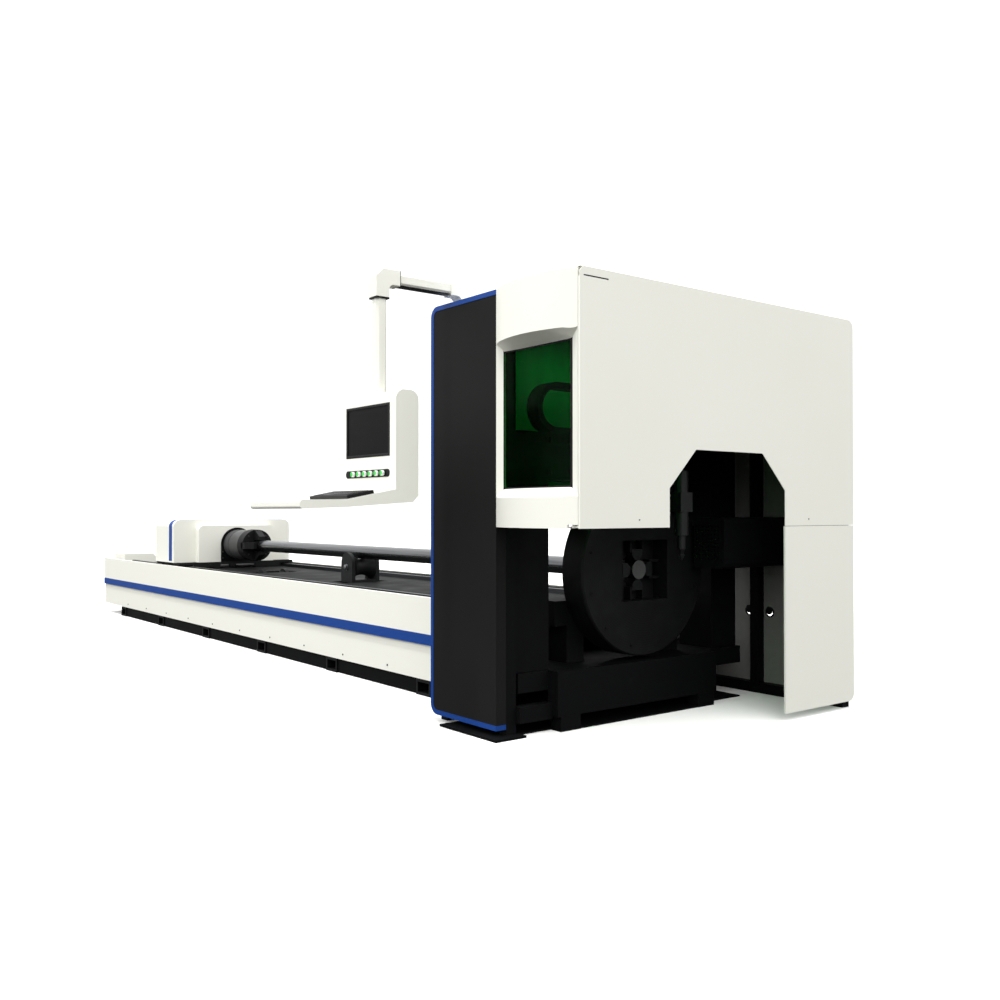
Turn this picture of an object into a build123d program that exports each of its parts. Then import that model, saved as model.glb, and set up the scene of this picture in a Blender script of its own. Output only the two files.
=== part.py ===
from build123d import *
import math
import os

os.makedirs("parts", exist_ok=True)

# Fibre laser tube cutting machine, millimetres.
# X runs along the tube towards the exit end, the operator stands at -Y, Z is up from the floor.
# The origin is on the floor under the tube axis, in the middle of the bed's anchor holes.

# Layout along the tube; a setback is the distance behind the face of the end panel
FOOT_COUNT = 6
FIRST_FOOT_SETBACK = 1747.0
LAST_FOOT_INSET = 603.0
MACHINE_LENGTH = 8000.0
TUBE_AXIS_Z = 770.0
SHEET = 3.0
FIT_GAP = 0.3
SHAFT_GAP = 0.1
WELD_GAP = 0.2

# Cutting enclosure
HOOD_FRONT_Y = -977.0
HOOD_REAR_Y = 1067.0
HOOD_BASE_Z = 40.0
HOOD_TOP_Z = 2140.0
HOOD_LENGTH = 1146.0
HOOD_EDGE_Z = 1008.0
DOOR_LENGTH = 592.0
END_CORNER_R = 45.0
END_FRONT_CORNER_R = 32.0
END_FLANGE = 30.0
END_FRONT_FLANGE = 10.0
NOTCH_Y = 17.0
NOTCH_HALF_W = 434.0
NOTCH_TOP_HALF_W = 250.0
NOTCH_SHOULDER_Z = 1190.0
NOTCH_TOP_Z = 1375.0
LEG_SEAM = 2.0
SLOT_LENGTH = 150.0
SLOT_H = 6.0
SLOT_START = 23.0
SLOT_DROP = 38.0

# Dark side panel and its blue band
TRIM_W = 24.0
TRIM_DEPTH = 62.0
TRIM_CORNER_R = 55.0
PANEL_INSET = 2.0
PANEL_GAP = 0.4
TOP_COVER_LIP = 30.0
REAR_HOLE_R = 23.5
REAR_HOLE_Z = 481.0
REAR_HOLE_SETBACK = 559.0
REAR_HOLE_PITCH = 148.0
ENTRY_TOP_Z = 1060.0
ENTRY_HALF_W = 720.0

# Enclosure frame of square tube
POST_W = 55.0
POST_D = 60.0
RAIL_H = 60.0
MID_POST_SETBACK = 632.0
FLOOR_PLATE_T = 12.0
FLOOR_PLATE_START = 535.0
FLOOR_PLATE_END = 1000.0
FLOOR_PLATE_OUT = 43.0
DOOR_RAIL_W = 50.0
DOOR_RAIL_Y = -925.0
TIE_W = 60.0
TIE_BASE_Z = 62.0
TIE_TOP_Z = 141.0

# Bulged door with its laser-safe window
DOOR_SAG = 70.0
DOOR_GAP = 3.0
DOOR_HINGE_GAP = 13.0
DOOR_DEPTH = 32.0
DOOR_TOP_GAP = 6.0
DOOR_WALL = 5.0
DOOR_RIM = 8.0
SCOOP_TOP_Z = 1880.0
SCOOP_BASE_Z = 1146.0
SCOOP_OVERRUN = 30.0
SCOOP_STATIONS = 9
WINDOW_START = 80.0
WINDOW_END = 554.0
WINDOW_BASE_Z = 1191.0
WINDOW_TOP_Z = 1836.0
WINDOW_DEPTH = 25.0
PANE_T = 6.0
PIVOT_SETBACK = 45.0
PIVOT_INSET = 4.0
PIVOT_R = 6.0
PIVOT_LENGTH = 32.0
PIVOT_BLOCK = 24.0
PIVOT_BLOCK_FRONT = 10.0
PIVOT_BLOCK_OUT = 8.0
PIVOT_BLOCK_H = 46.0
PIVOT_PLATE_T = 10.0
PIVOT_PLATE_LENGTH = 60.0
PIVOT_NOTCH_H = 13.0
PIVOT_NOTCH_GAP = 4.0

# Fume extraction duct
DUCT_START = 315.0
DUCT_END = 525.0
DUCT_FRONT_Y = 350.0
DUCT_BASE_Z = 774.0
DUCT_TOP_Z = 1050.0
DUCT_WALL = 4.0
DUCT_EDGE_R = 30.0
DUCT_HOLE_R = 6.0
DUCT_HOLE_PITCH = 22.0
DUCT_HOLE_COLUMNS = 8
DUCT_HOLE_ROWS = 9
DUCT_PORT_R = 100.0
DUCT_PORT_LENGTH = 90.0
DUCT_NECK_R = 95.0
DUCT_PORT_WALL = 3.0

# Cutting head base, gantry and chuck stand
BASE_FRONT_SETBACK = 525.0
BASE_STEP_SETBACK = 600.0
BASE_HOOD_GAP = 96.0
BASE_TOP_Z = 296.0
BASE_BEAM_Z = 74.0
BASE_BODY_Z = 200.0
BASE_FRONT_Y = -645.0
BASE_REAR_Y = 533.0
BASE_SIDE_GAP = 142.0
BASE_FOOT_W = 130.0
BASE_FOOT_INSET = 20.0
BASE_TRAY_T = 8.0
BASE_TRAY_GAP = 4.0
BASE_CLOSER_T = 6.0
GANTRY_SETBACK = 630.0
GANTRY_DEPTH = 240.0
COLUMN_INSET = 5.0
COLUMN_W = 215.0
GANTRY_BEAM_Z = 1240.0
GANTRY_TOP_Z = 1480.0
CROSS_RAIL_H = 20.0
CROSS_RAIL_W = 30.0
CROSS_RAIL_INSET = 40.0
STAND_GAP = 6.0
STAND_DEPTH = 180.0
STAND_R = 270.0
STAND_HALF_W = 500.0
STAND_BEAM_Z = 490.0
STAND_BEAM_TOP_Z = 620.0
STAND_LEG_INNER_Y = 300.0
STAND_LEG_W = 120.0
LOOP_Y = -500.0
LOOP_Z = 1615.0
LOOP_R = 132.0
LOOP_T = 32.0
LOOP_SETBACK = 690.0
LOOP_W = 90.0
LOOP_UPPER_RUN = 380.0
LOOP_LOWER_RUN = 430.0

# Front rotating chuck
DRUM_R = 455.0
DRUM_SETBACK = 559.0
DRUM_DEPTH = 150.0
DRUM_EDGE = 8.0
RECESS_W = 340.0
RECESS_H = 320.0
RECESS_DEPTH = 105.0
HUB_R = 160.0
HUB_BORE_R = 80.0
HUB_LENGTH = 190.0
FRONT_JAW_DEPTH = 48.0
FRONT_JAW_W = 76.0
FRONT_JAW_LENGTH = 58.0
FRONT_JAW_TIP_W = 30.0
FRONT_JAW_TIP_LENGTH = 24.0
JAW_RAIL_W = 14.0
JAW_RAIL_DEPTH = 45.0
JAW_RAIL_START = 92.0
JAW_RAIL_GAP = 0.6

# Workpiece tube
TUBE_R = 51.0
TUBE_WALL = 4.0
TUBE_FRONT_SETBACK = 606.0
TUBE_TAIL_LEAD = 278.0
TUBE_PLUG_T = 12.0

# Bed
BED_FRONT_Y = -651.0
BED_REAR_Y = 600.0
SKIRT_BASE_Z = 99.0
SKIRT_TOP_Z = 583.0
SKIRT_STEP = 12.0
SKIRT_LIP = 22.0
STRIPE_BASE_Z = 306.0
STRIPE_TOP_Z = 369.0
STRIPE_T = 2.0
BED_REAR_GAP = 4.0
FOOT_TUBE_W = 150.0
FOOT_TUBE_H = 92.0
FOOT_TUBE_WALL = 16.0
FOOT_TUBE_INSET = 24.0
BEAM_W = 130.0
BEAM_WALL = 12.0
BEAM_INSET = 20.0
SILL_INSET = 8.0
SILL_W = 60.0
SILL_BASE_Z = 3.0
DECK_TOP_Z = 543.0
DECK_T = 12.0
WELL_HALF_X = 110.0
WELL_HALF_Y = 185.0
DECK_CURB_W = 40.0
DECK_CURB_H = 34.0
DECK_CURB_INSET = 40.0
RAIL_Y = 480.0
RAIL_W = 30.0
RAIL_TALL = 30.0
RAIL_END_GAP = 40.0
ANCHOR_HALF_Y = 480.0
ANCHOR_OUT = 45.0
ANCHOR_LUG = 90.0
ANCHOR_LUG_T = 15.0
ANCHOR_HOLE_R = 9.0
END_COVER_INSET = 90.0
END_COVER_LENGTH = 350.0
END_COVER_FRONT_Y = -570.0
END_COVER_REAR_Y = -233.0
END_COVER_TOP_Z = 637.0
END_COVER_BEVEL = 40.0

# Rear chuck carriage
CARRIAGE_INSET = 1952.0
COVER_LENGTH = 500.0
COVER_HALF_W = 585.0
COVER_TOP_Z = 1003.0
COVER_CORNER_R = 60.0
COVER_WALL = 4.0
NOSE_LENGTH = 80.0
NOSE_HALF_W = 375.0
NOSE_TOP_Z = 950.0
NOSE_CORNER_R = 45.0
CARRIAGE_PLATE_TOP_Z = 604.0
CARRIAGE_PLATE_T = 22.0
CARRIAGE_PLATE_INSET = 15.0
CARRIAGE_NOSE_OUT = 30.0
CARRIAGE_APRON_Z = 548.0
CARRIAGE_APRON_T = 20.0
APRON_HALF_W = 430.0
APRON_GAP_HALF = 175.0
APRON_TAB_Z = 558.0
APRON_TAB_HALF_W = 34.0
SLIDER_LENGTH = 140.0
SLIDER_W = 90.0
SLIDER_GAP = 6.0
BUMPER_R = 16.5
BUMPER_LENGTH = 22.0
BUMPER_Z = 575.0
BUMPER_Y = -269.0
BUMPER_PITCH = 216.0
FLANGE_HALF_W = 160.0
FLANGE_T = 14.0
SPINDLE_R = 138.0
SPINDLE_BORE_R = 62.0
SPINDLE_LEAD = 426.0
SPINDLE_BAND_R = 141.0
SPINDLE_BAND_T = 16.0
SPINDLE_BAND_BACK = 240.0

# Rear chuck
CHUCK_R = 146.0
CHUCK_LENGTH = 122.0
CHUCK_BACK_GAP = 2.0
CHUCK_BORE_R = 60.0
CHUCK_SLOT_DEPTH = 34.0
JAW_W = 58.0
JAW_OUTER_R = 136.0
JAW_TIP_R = 84.0
JAW_REACH = 110.0
JAW_HEEL = 24.0

# Lifting tube supports
SUPPORT_A_LEAD = 898.0
SUPPORT_B_SETBACK = 3590.0
SUPPORT_DROP = 200.0
ROLLER_WAIST_R = 62.0
ROLLER_END_R = 95.0
ROLLER_HALF_W = 84.0
ROLLER_TUBE_GAP = 0.5
ROLLER_SHAFT_R = 15.0
BRACKET_W = 170.0
BRACKET_INNER_Y = 90.0
BRACKET_T = 30.0
BRACKET_TOP_Z = 768.0
BRACKET_BASE_Z = 540.0
BRACKET_BASE_T = 20.0
GUIDE_POST_R = 30.0
GUIDE_POST_BASE_Z = 296.0
GUIDE_BEAM_W = 130.0
GUIDE_BEAM_BASE_Z = 240.0
GUIDE_BEAM_TOP_Z = 335.0

# Cutting head and its cross slide
SLIDE_T = 28.0
SLIDE_HALF_W = 120.0
SLIDE_BASE_Z = 1236.0
SLIDE_TOP_Z = 1500.0
SLIDE_ARM_HALF_W = 60.0
SLIDE_ARM_BASE_Z = 1240.0
SLIDE_ARM_TOP_Z = 1400.0
SLIDE_ARM_SETBACK = 378.0
SLIDE_FACE_T = 20.0
SLIDE_FACE_HALF_W = 75.0
SLIDE_FACE_BASE_Z = 1110.0
SLIDE_FACE_TOP_Z = 1430.0
GUSSET_T = 12.0
HEAD_SETBACK = 303.0
HEAD_R = 36.0
HEAD_BASE_Z = 960.0
HEAD_TOP_Z = 1290.0
HEAD_PLATE_T = 18.0
HEAD_PLATE_HALF_W = 55.0
HEAD_PLATE_BASE_Z = 1060.0
HEAD_PLATE_TOP_Z = 1270.0
HEAD_BLOCK_HALF_W = 44.0
HEAD_BLOCK_BASE_Z = 1080.0
HEAD_BLOCK_TOP_Z = 1180.0
HEAD_NECK_R = 22.0
HEAD_NECK_Z = 890.0
NOZZLE_TOP_R = 16.0
NOZZLE_TIP_R = 4.0
NOZZLE_GAP = 11.0
FIBRE_R = 14.0
FIBRE_LENGTH = 70.0
SLIDE_CLEARANCE = 1.0

# Control pendant and its arm
PENDANT_LEAD = 149.0
POST_Y = -877.0
DROP_Y = -1377.0
POST_FLANGE_R = 58.0
POST_FLANGE_T = 6.0
POST_SPIGOT_R = 22.0
POST_SPIGOT_LENGTH = 40.0
ARM_AXIS_Z = 2215.0
ARM_HALF = 30.0
ARM_CHAMFER = 12.0
ELBOW_HALF = 37.0
ELBOW_ROUND = 36.0
ELBOW_INNER_R = 24.0
ELBOW_LEG = 98.0
ELBOW_FALL_Z = 2117.0
ELBOW_EDGE = 5.0
COLLAR_HALF = 36.0
COLLAR_T = 8.0
DROP_HALF = 29.0
DROP_FOOT_HALF = 34.0
DROP_FOOT_H = 26.0
CASE_W = 515.0
CASE_FRONT_Y = -1441.0
CASE_BACK_Y = -1317.0
CASE_TOP_Z = 1646.0
CASE_HEEL_Z = 1126.0
CASE_HEEL_BEVEL = 30.0
SHELF_TIP_Y = -1921.0
SHELF_BEND_Y = -1690.0
SHELF_ROOT_Z = 1185.0
SHELF_BEND_Z = 1137.0
SHELF_TIP_Z = 1133.0
SHELF_TIP_BASE_Z = 1094.0
SHELF_BEND_BASE_Z = 1102.0
SHELF_TIP_R = 12.0
CASE_EDGE_R = 45.0
SCREEN_W = 401.0
SCREEN_H = 240.0
SCREEN_Z = 1465.0
SCREEN_POCKET = 6.0
SCREEN_T = 4.5
SCREEN_GAP = 0.5
STRIP_W = 410.0
STRIP_H = 36.0
STRIP_T = 3.0
STRIP_Z = 1262.0
BUTTON_COUNT = 6
BUTTON_PITCH = 55.0
BUTTON_SHIFT = 20.0
BUTTON_R = 13.0
BUTTON_HEAD = 12.0
BUTTON_STANDOFF = 6.0
BUTTON_STEM_R = 9.0
BUTTON_STEM_LENGTH = 22.0
BUTTON_EDGE = 2.0
KEYBOARD_W = 362.0
KEYBOARD_D = 138.0
KEYBOARD_T = 16.0
KEYBOARD_BEND_GAP = 3.0
KEYBOARD_SHIFT = 70.0
KEY_WELL_RIM = 12.0
KEY_WELL_DEPTH = 4.0

# Places worked out from the sizes above
FOOT_SPAN = MACHINE_LENGTH - FIRST_FOOT_SETBACK - LAST_FOOT_INSET
FOOT_PITCH = FOOT_SPAN / (FOOT_COUNT - 1)
END_X = FOOT_SPAN / 2 + FIRST_FOOT_SETBACK
FAR_X = END_X - MACHINE_LENGTH
HOOD_BACK_X = END_X - HOOD_LENGTH
JOINT_X = END_X - DOOR_LENGTH
ANCHOR_HALF_X = FOOT_SPAN / 2 + FOOT_TUBE_W / 2 + ANCHOR_OUT
PENDANT_X = HOOD_BACK_X + PENDANT_LEAD
BASE_REAR_SETBACK = HOOD_LENGTH - BASE_HOOD_GAP
BASE_HALF_W = -HOOD_FRONT_Y - BASE_SIDE_GAP
COLUMN_INNER_Y = BASE_HALF_W - COLUMN_INSET - COLUMN_W
NOTCH_Y0 = NOTCH_Y - NOTCH_HALF_W
NOTCH_Y1 = NOTCH_Y + NOTCH_HALF_W


def block(x0, x1, y0, y1, z0, z1, mode=Mode.ADD):
    with Locations(((x0 + x1) / 2, (y0 + y1) / 2, (z0 + z1) / 2)):
        Box(abs(x1 - x0), abs(y1 - y0), abs(z1 - z0), mode=mode)


def bar_x(x0, x1, y, z, radius, mode=Mode.ADD):
    with Locations(Location(((x0 + x1) / 2, y, z), (0, 90, 0))):
        Cylinder(radius, abs(x1 - x0), mode=mode)


def bar_y(x, y0, y1, z, radius, mode=Mode.ADD):
    with Locations(Location((x, (y0 + y1) / 2, z), (90, 0, 0))):
        Cylinder(radius, abs(y1 - y0), mode=mode)


def bar_z(x, y, z0, z1, radius, mode=Mode.ADD):
    with Locations((x, y, (z0 + z1) / 2)):
        Cylinder(radius, abs(z1 - z0), mode=mode)


def save(part, label):
    part.label = label
    export_step(part, "parts/" + label + ".step")


# Bed frame: two long box beams on open cross tubes with sills between, and the lift guide beams
foot_xs = [FOOT_PITCH * (i - (FOOT_COUNT - 1) / 2) for i in range(FOOT_COUNT)]
foot_y0 = BED_FRONT_Y + FOOT_TUBE_INSET
foot_y1 = BED_REAR_Y - FOOT_TUBE_INSET
beam_z1 = DECK_TOP_Z - DECK_T
beam_x0 = FAR_X + SHEET
beam_x1 = END_X - BASE_REAR_SETBACK
front_beam_y = BED_FRONT_Y + SKIRT_STEP + SHEET + BEAM_INSET
rear_beam_y = BED_REAR_Y - SKIRT_STEP - SHEET - BEAM_INSET
cover_front_x = FAR_X + CARRIAGE_INSET
support_xs = [cover_front_x + SUPPORT_A_LEAD, END_X - SUPPORT_B_SETBACK]
with BuildPart() as bed_frame:
    for x in foot_xs:
        block(x - FOOT_TUBE_W / 2, x + FOOT_TUBE_W / 2, foot_y0, foot_y1, 0, FOOT_TUBE_H)
        block(x - FOOT_TUBE_W / 2 + FOOT_TUBE_WALL, x + FOOT_TUBE_W / 2 - FOOT_TUBE_WALL,
              foot_y0, foot_y1, FOOT_TUBE_WALL, FOOT_TUBE_H - FOOT_TUBE_WALL, Mode.SUBTRACT)
    for y0, y1 in ((front_beam_y, front_beam_y + BEAM_W), (rear_beam_y - BEAM_W, rear_beam_y)):
        block(beam_x0, beam_x1, y0, y1, FOOT_TUBE_H + WELD_GAP, beam_z1)
        block(beam_x0, beam_x1, y0 + BEAM_WALL, y1 - BEAM_WALL,
              FOOT_TUBE_H + BEAM_WALL, beam_z1 - BEAM_WALL, Mode.SUBTRACT)
    for x in support_xs:
        block(x - GUIDE_BEAM_W / 2, x + GUIDE_BEAM_W / 2, front_beam_y + BEAM_W + WELD_GAP,
              rear_beam_y - BEAM_W - WELD_GAP, GUIDE_BEAM_BASE_Z, GUIDE_BEAM_TOP_Z)
        bar_z(x, 0, GUIDE_BEAM_BASE_Z, GUIDE_BEAM_TOP_Z, GUIDE_POST_R + SHAFT_GAP, Mode.SUBTRACT)
    for near, far in zip(foot_xs, foot_xs[1:]):
        for y0 in (foot_y0 + SILL_INSET, foot_y1 - SILL_INSET - SILL_W):
            block(near + FOOT_TUBE_W / 2 + WELD_GAP, far - FOOT_TUBE_W / 2 - WELD_GAP, y0, y0 + SILL_W,
                  SILL_BASE_Z, FOOT_TUBE_H)
    for side in (-1, 1):
        lug_x0 = side * (foot_xs[-1] + FOOT_TUBE_W / 2 + WELD_GAP)
        lug_x1 = lug_x0 + side * ANCHOR_LUG
        for y in (-ANCHOR_HALF_Y, ANCHOR_HALF_Y):
            block(lug_x0, lug_x1, y - ANCHOR_LUG / 2, y + ANCHOR_LUG / 2, 0, ANCHOR_LUG_T)
            bar_z(side * ANCHOR_HALF_X, y, 0, ANCHOR_LUG_T, ANCHOR_HOLE_R, Mode.SUBTRACT)
save(bed_frame.part, "bed_frame")

# Deck plate with the support wells and a raised curb along the far side
deck_y0 = BED_FRONT_Y + SHEET
deck_y1 = BED_REAR_Y - SHEET
with BuildPart() as bed_deck:
    block(beam_x0, beam_x1, deck_y0, deck_y1, beam_z1, DECK_TOP_Z)
    block(beam_x0, beam_x1, deck_y1 - DECK_CURB_INSET - DECK_CURB_W, deck_y1 - DECK_CURB_INSET,
          DECK_TOP_Z, DECK_TOP_Z + DECK_CURB_H)
    for x in support_xs:
        block(x - WELL_HALF_X, x + WELL_HALF_X, -WELL_HALF_Y, WELL_HALF_Y,
              beam_z1, DECK_TOP_Z, Mode.SUBTRACT)
save(bed_deck.part, "bed_deck")


# Folded skirts: the upper band stands proud of the lower one
def skirt(outer_y, inward):
    upper_in = outer_y + inward * SHEET
    lower_out = outer_y + inward * SKIRT_STEP
    lower_in = lower_out + inward * SHEET
    lip_y = outer_y + inward * SKIRT_LIP
    with BuildSketch(Plane.YZ.offset(FAR_X)) as profile:
        with BuildLine():
            Polyline((outer_y, STRIPE_BASE_Z), (outer_y, SKIRT_TOP_Z), (lip_y, SKIRT_TOP_Z),
                     (lip_y, SKIRT_TOP_Z - SHEET), (upper_in, SKIRT_TOP_Z - SHEET),
                     (upper_in, STRIPE_BASE_Z + SHEET), (lower_in, STRIPE_BASE_Z + SHEET),
                     (lower_in, SKIRT_BASE_Z), (lower_out, SKIRT_BASE_Z),
                     (lower_out, STRIPE_BASE_Z), close=True)
        make_face()
    extrude(profile.sketch, amount=HOOD_BACK_X - BED_REAR_GAP - FAR_X)


with BuildPart() as front_skirt:
    skirt(BED_FRONT_Y, 1)
    block(FAR_X, HOOD_BACK_X, BED_FRONT_Y + SHEET, BED_FRONT_Y + SKIRT_LIP, beam_z1,
          DECK_TOP_Z, Mode.SUBTRACT)
save(front_skirt.part, "front_skirt")

with BuildPart() as rear_skirt:
    skirt(BED_REAR_Y, -1)
save(rear_skirt.part, "rear_skirt")

# Blue stripes on both skirts
with BuildPart() as skirt_stripes:
    for y0, y1 in ((BED_FRONT_Y - STRIPE_T, BED_FRONT_Y), (BED_REAR_Y, BED_REAR_Y + STRIPE_T)):
        block(FAR_X, HOOD_BACK_X - BED_REAR_GAP, y0, y1, STRIPE_BASE_Z, STRIPE_TOP_Z)
save(skirt_stripes.part, "skirt_stripes")

# Sheet that closes the far end of the bed
with BuildPart() as far_end_panel:
    block(FAR_X, FAR_X + SHEET, BED_FRONT_Y + SKIRT_STEP + SHEET, BED_REAR_Y - SKIRT_STEP - SHEET,
          SKIRT_BASE_Z, SKIRT_TOP_Z - SHEET)
save(far_end_panel.part, "far_end_panel")

# Low cover box on the far corner of the deck
cover_x0 = FAR_X + END_COVER_INSET
cover_x1 = cover_x0 + END_COVER_LENGTH
with BuildPart() as end_cover:
    with BuildSketch(Plane.YZ.offset(cover_x0)):
        with BuildLine():
            Polyline((END_COVER_FRONT_Y, DECK_TOP_Z), (END_COVER_FRONT_Y, END_COVER_TOP_Z),
                     (END_COVER_REAR_Y - END_COVER_BEVEL, END_COVER_TOP_Z),
                     (END_COVER_REAR_Y, END_COVER_TOP_Z - END_COVER_BEVEL),
                     (END_COVER_REAR_Y, DECK_TOP_Z), close=True)
        make_face()
    extrude(amount=END_COVER_LENGTH)
    block(cover_x0 + SHEET, cover_x1 - SHEET, END_COVER_FRONT_Y + SHEET,
          END_COVER_REAR_Y - END_COVER_BEVEL, DECK_TOP_Z, END_COVER_TOP_Z - SHEET, Mode.SUBTRACT)
save(end_cover.part, "end_cover")

# Guide rails of the rear carriage
with BuildPart() as carriage_rails:
    for y in (-RAIL_Y, RAIL_Y):
        block(beam_x0 + RAIL_END_GAP, HOOD_BACK_X, y - RAIL_W / 2, y + RAIL_W / 2,
              DECK_TOP_Z, DECK_TOP_Z + RAIL_TALL)
    block(cover_x0, cover_x1, END_COVER_FRONT_Y,
          END_COVER_REAR_Y, DECK_TOP_Z, DECK_TOP_Z + RAIL_TALL, Mode.SUBTRACT)
save(carriage_rails.part, "carriage_rails")

# Base of the cutting head: a front beam on two feet and a wide body behind it
base_x1 = END_X - BASE_FRONT_SETBACK
base_xs = END_X - BASE_STEP_SETBACK
base_x0 = END_X - BASE_REAR_SETBACK
with BuildPart() as head_base:
    block(base_xs + WELD_GAP, base_x1, BASE_FRONT_Y, BASE_REAR_Y, BASE_BEAM_Z, BASE_TOP_Z)
    block(base_x0, base_xs, -BASE_HALF_W, BASE_HALF_W, BASE_BODY_Z, BASE_TOP_Z)
    for y0 in (BASE_FRONT_Y + BASE_FOOT_INSET, BASE_REAR_Y - BASE_FOOT_W - BASE_FOOT_INSET):
        block(base_xs + WELD_GAP, base_x1, y0, y0 + BASE_FOOT_W, 0, BASE_BEAM_Z - WELD_GAP)
    for y0 in (-BASE_HALF_W, BASE_HALF_W - BASE_FOOT_W):
        block(base_x0, base_x0 + BASE_FOOT_W, y0, y0 + BASE_FOOT_W, 0, BASE_BODY_Z - WELD_GAP)
    # Drip tray on the floor: wide part under the body, tongue between the front feet
    tray_y0 = BASE_FRONT_Y + BASE_FOOT_INSET + BASE_FOOT_W + WELD_GAP
    tray_y1 = BASE_REAR_Y - BASE_FOOT_INSET - BASE_FOOT_W - WELD_GAP
    block(base_x0 + BASE_FOOT_W + BASE_TRAY_GAP, base_xs, -BASE_HALF_W + BASE_TRAY_GAP,
          BASE_HALF_W - BASE_TRAY_GAP, 0, BASE_TRAY_T)
    block(base_xs + WELD_GAP, base_x1 - BASE_TRAY_GAP, tray_y0, tray_y1, 0, BASE_TRAY_T)
    # Closing plate between the rear feet
    closer_y = BASE_HALF_W - BASE_FOOT_W - WELD_GAP
    block(base_x0, base_x0 + BASE_CLOSER_T, -closer_y, closer_y, 0, BASE_BODY_Z - WELD_GAP)
save(head_base.part, "head_base")

# Bearing stand behind the front chuck: a round housing on a beam with two legs
stand_x1 = END_X - DRUM_SETBACK - DRUM_DEPTH - STAND_GAP
with BuildPart() as chuck_stand:
    bar_x(stand_x1 - STAND_DEPTH, stand_x1, 0, TUBE_AXIS_Z, STAND_R)
    block(stand_x1 - STAND_DEPTH, stand_x1, -STAND_HALF_W, STAND_HALF_W, STAND_BEAM_Z,
          STAND_BEAM_TOP_Z)
    for side in (-1, 1):
        block(stand_x1 - STAND_DEPTH, stand_x1, side * STAND_LEG_INNER_Y,
              side * (STAND_LEG_INNER_Y + STAND_LEG_W), BASE_TOP_Z, STAND_BEAM_Z)
    bar_x(stand_x1 - STAND_DEPTH, stand_x1, 0, TUBE_AXIS_Z, HUB_R + SHAFT_GAP, Mode.SUBTRACT)
save(chuck_stand.part, "chuck_stand")

# Gantry over the front chuck: two columns, the cross beam and its two rails
gantry_x1 = END_X - GANTRY_SETBACK
gantry_x0 = gantry_x1 - GANTRY_DEPTH
column_outer_y = COLUMN_INNER_Y + COLUMN_W
rail_zs = [GANTRY_BEAM_Z + CROSS_RAIL_INSET, GANTRY_TOP_Z - CROSS_RAIL_INSET]
with BuildPart() as gantry:
    for side in (-1, 1):
        block(gantry_x0, gantry_x1, side * COLUMN_INNER_Y, side * column_outer_y,
              BASE_TOP_Z, GANTRY_BEAM_Z - WELD_GAP)
    block(gantry_x0, gantry_x1, -column_outer_y, column_outer_y, GANTRY_BEAM_Z, GANTRY_TOP_Z)
    for z in rail_zs:
        block(gantry_x1 + WELD_GAP, gantry_x1 + CROSS_RAIL_H, -COLUMN_INNER_Y, COLUMN_INNER_Y,
              z - CROSS_RAIL_W / 2, z + CROSS_RAIL_W / 2)
save(gantry.part, "gantry")

# Looped cable guide on top of the gantry beam
loop_x0 = END_X - LOOP_SETBACK - LOOP_W
loop_in = LOOP_R - LOOP_T
with BuildPart() as cable_loop:
    with BuildSketch(Plane.YZ.offset(loop_x0)):
        with BuildLine():
            Line((LOOP_Y + LOOP_UPPER_RUN, LOOP_Z + LOOP_R), (LOOP_Y, LOOP_Z + LOOP_R))
            ThreePointArc((LOOP_Y, LOOP_Z + LOOP_R), (LOOP_Y - LOOP_R, LOOP_Z),
                          (LOOP_Y, LOOP_Z - LOOP_R))
            Line((LOOP_Y, LOOP_Z - LOOP_R), (LOOP_Y + LOOP_LOWER_RUN, LOOP_Z - LOOP_R))
            Line((LOOP_Y + LOOP_LOWER_RUN, LOOP_Z - LOOP_R),
                 (LOOP_Y + LOOP_LOWER_RUN, LOOP_Z - loop_in))
            Line((LOOP_Y + LOOP_LOWER_RUN, LOOP_Z - loop_in), (LOOP_Y, LOOP_Z - loop_in))
            ThreePointArc((LOOP_Y, LOOP_Z - loop_in), (LOOP_Y - loop_in, LOOP_Z),
                          (LOOP_Y, LOOP_Z + loop_in))
            Line((LOOP_Y, LOOP_Z + loop_in), (LOOP_Y + LOOP_UPPER_RUN, LOOP_Z + loop_in))
            Line((LOOP_Y + LOOP_UPPER_RUN, LOOP_Z + loop_in),
                 (LOOP_Y + LOOP_UPPER_RUN, LOOP_Z + LOOP_R))
        make_face()
    extrude(amount=LOOP_W)
    block(loop_x0, loop_x0 + LOOP_W, LOOP_Y, LOOP_Y + LOOP_LOWER_RUN, GANTRY_TOP_Z,
          LOOP_Z - LOOP_R)
save(cable_loop.part, "cable_loop")

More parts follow.
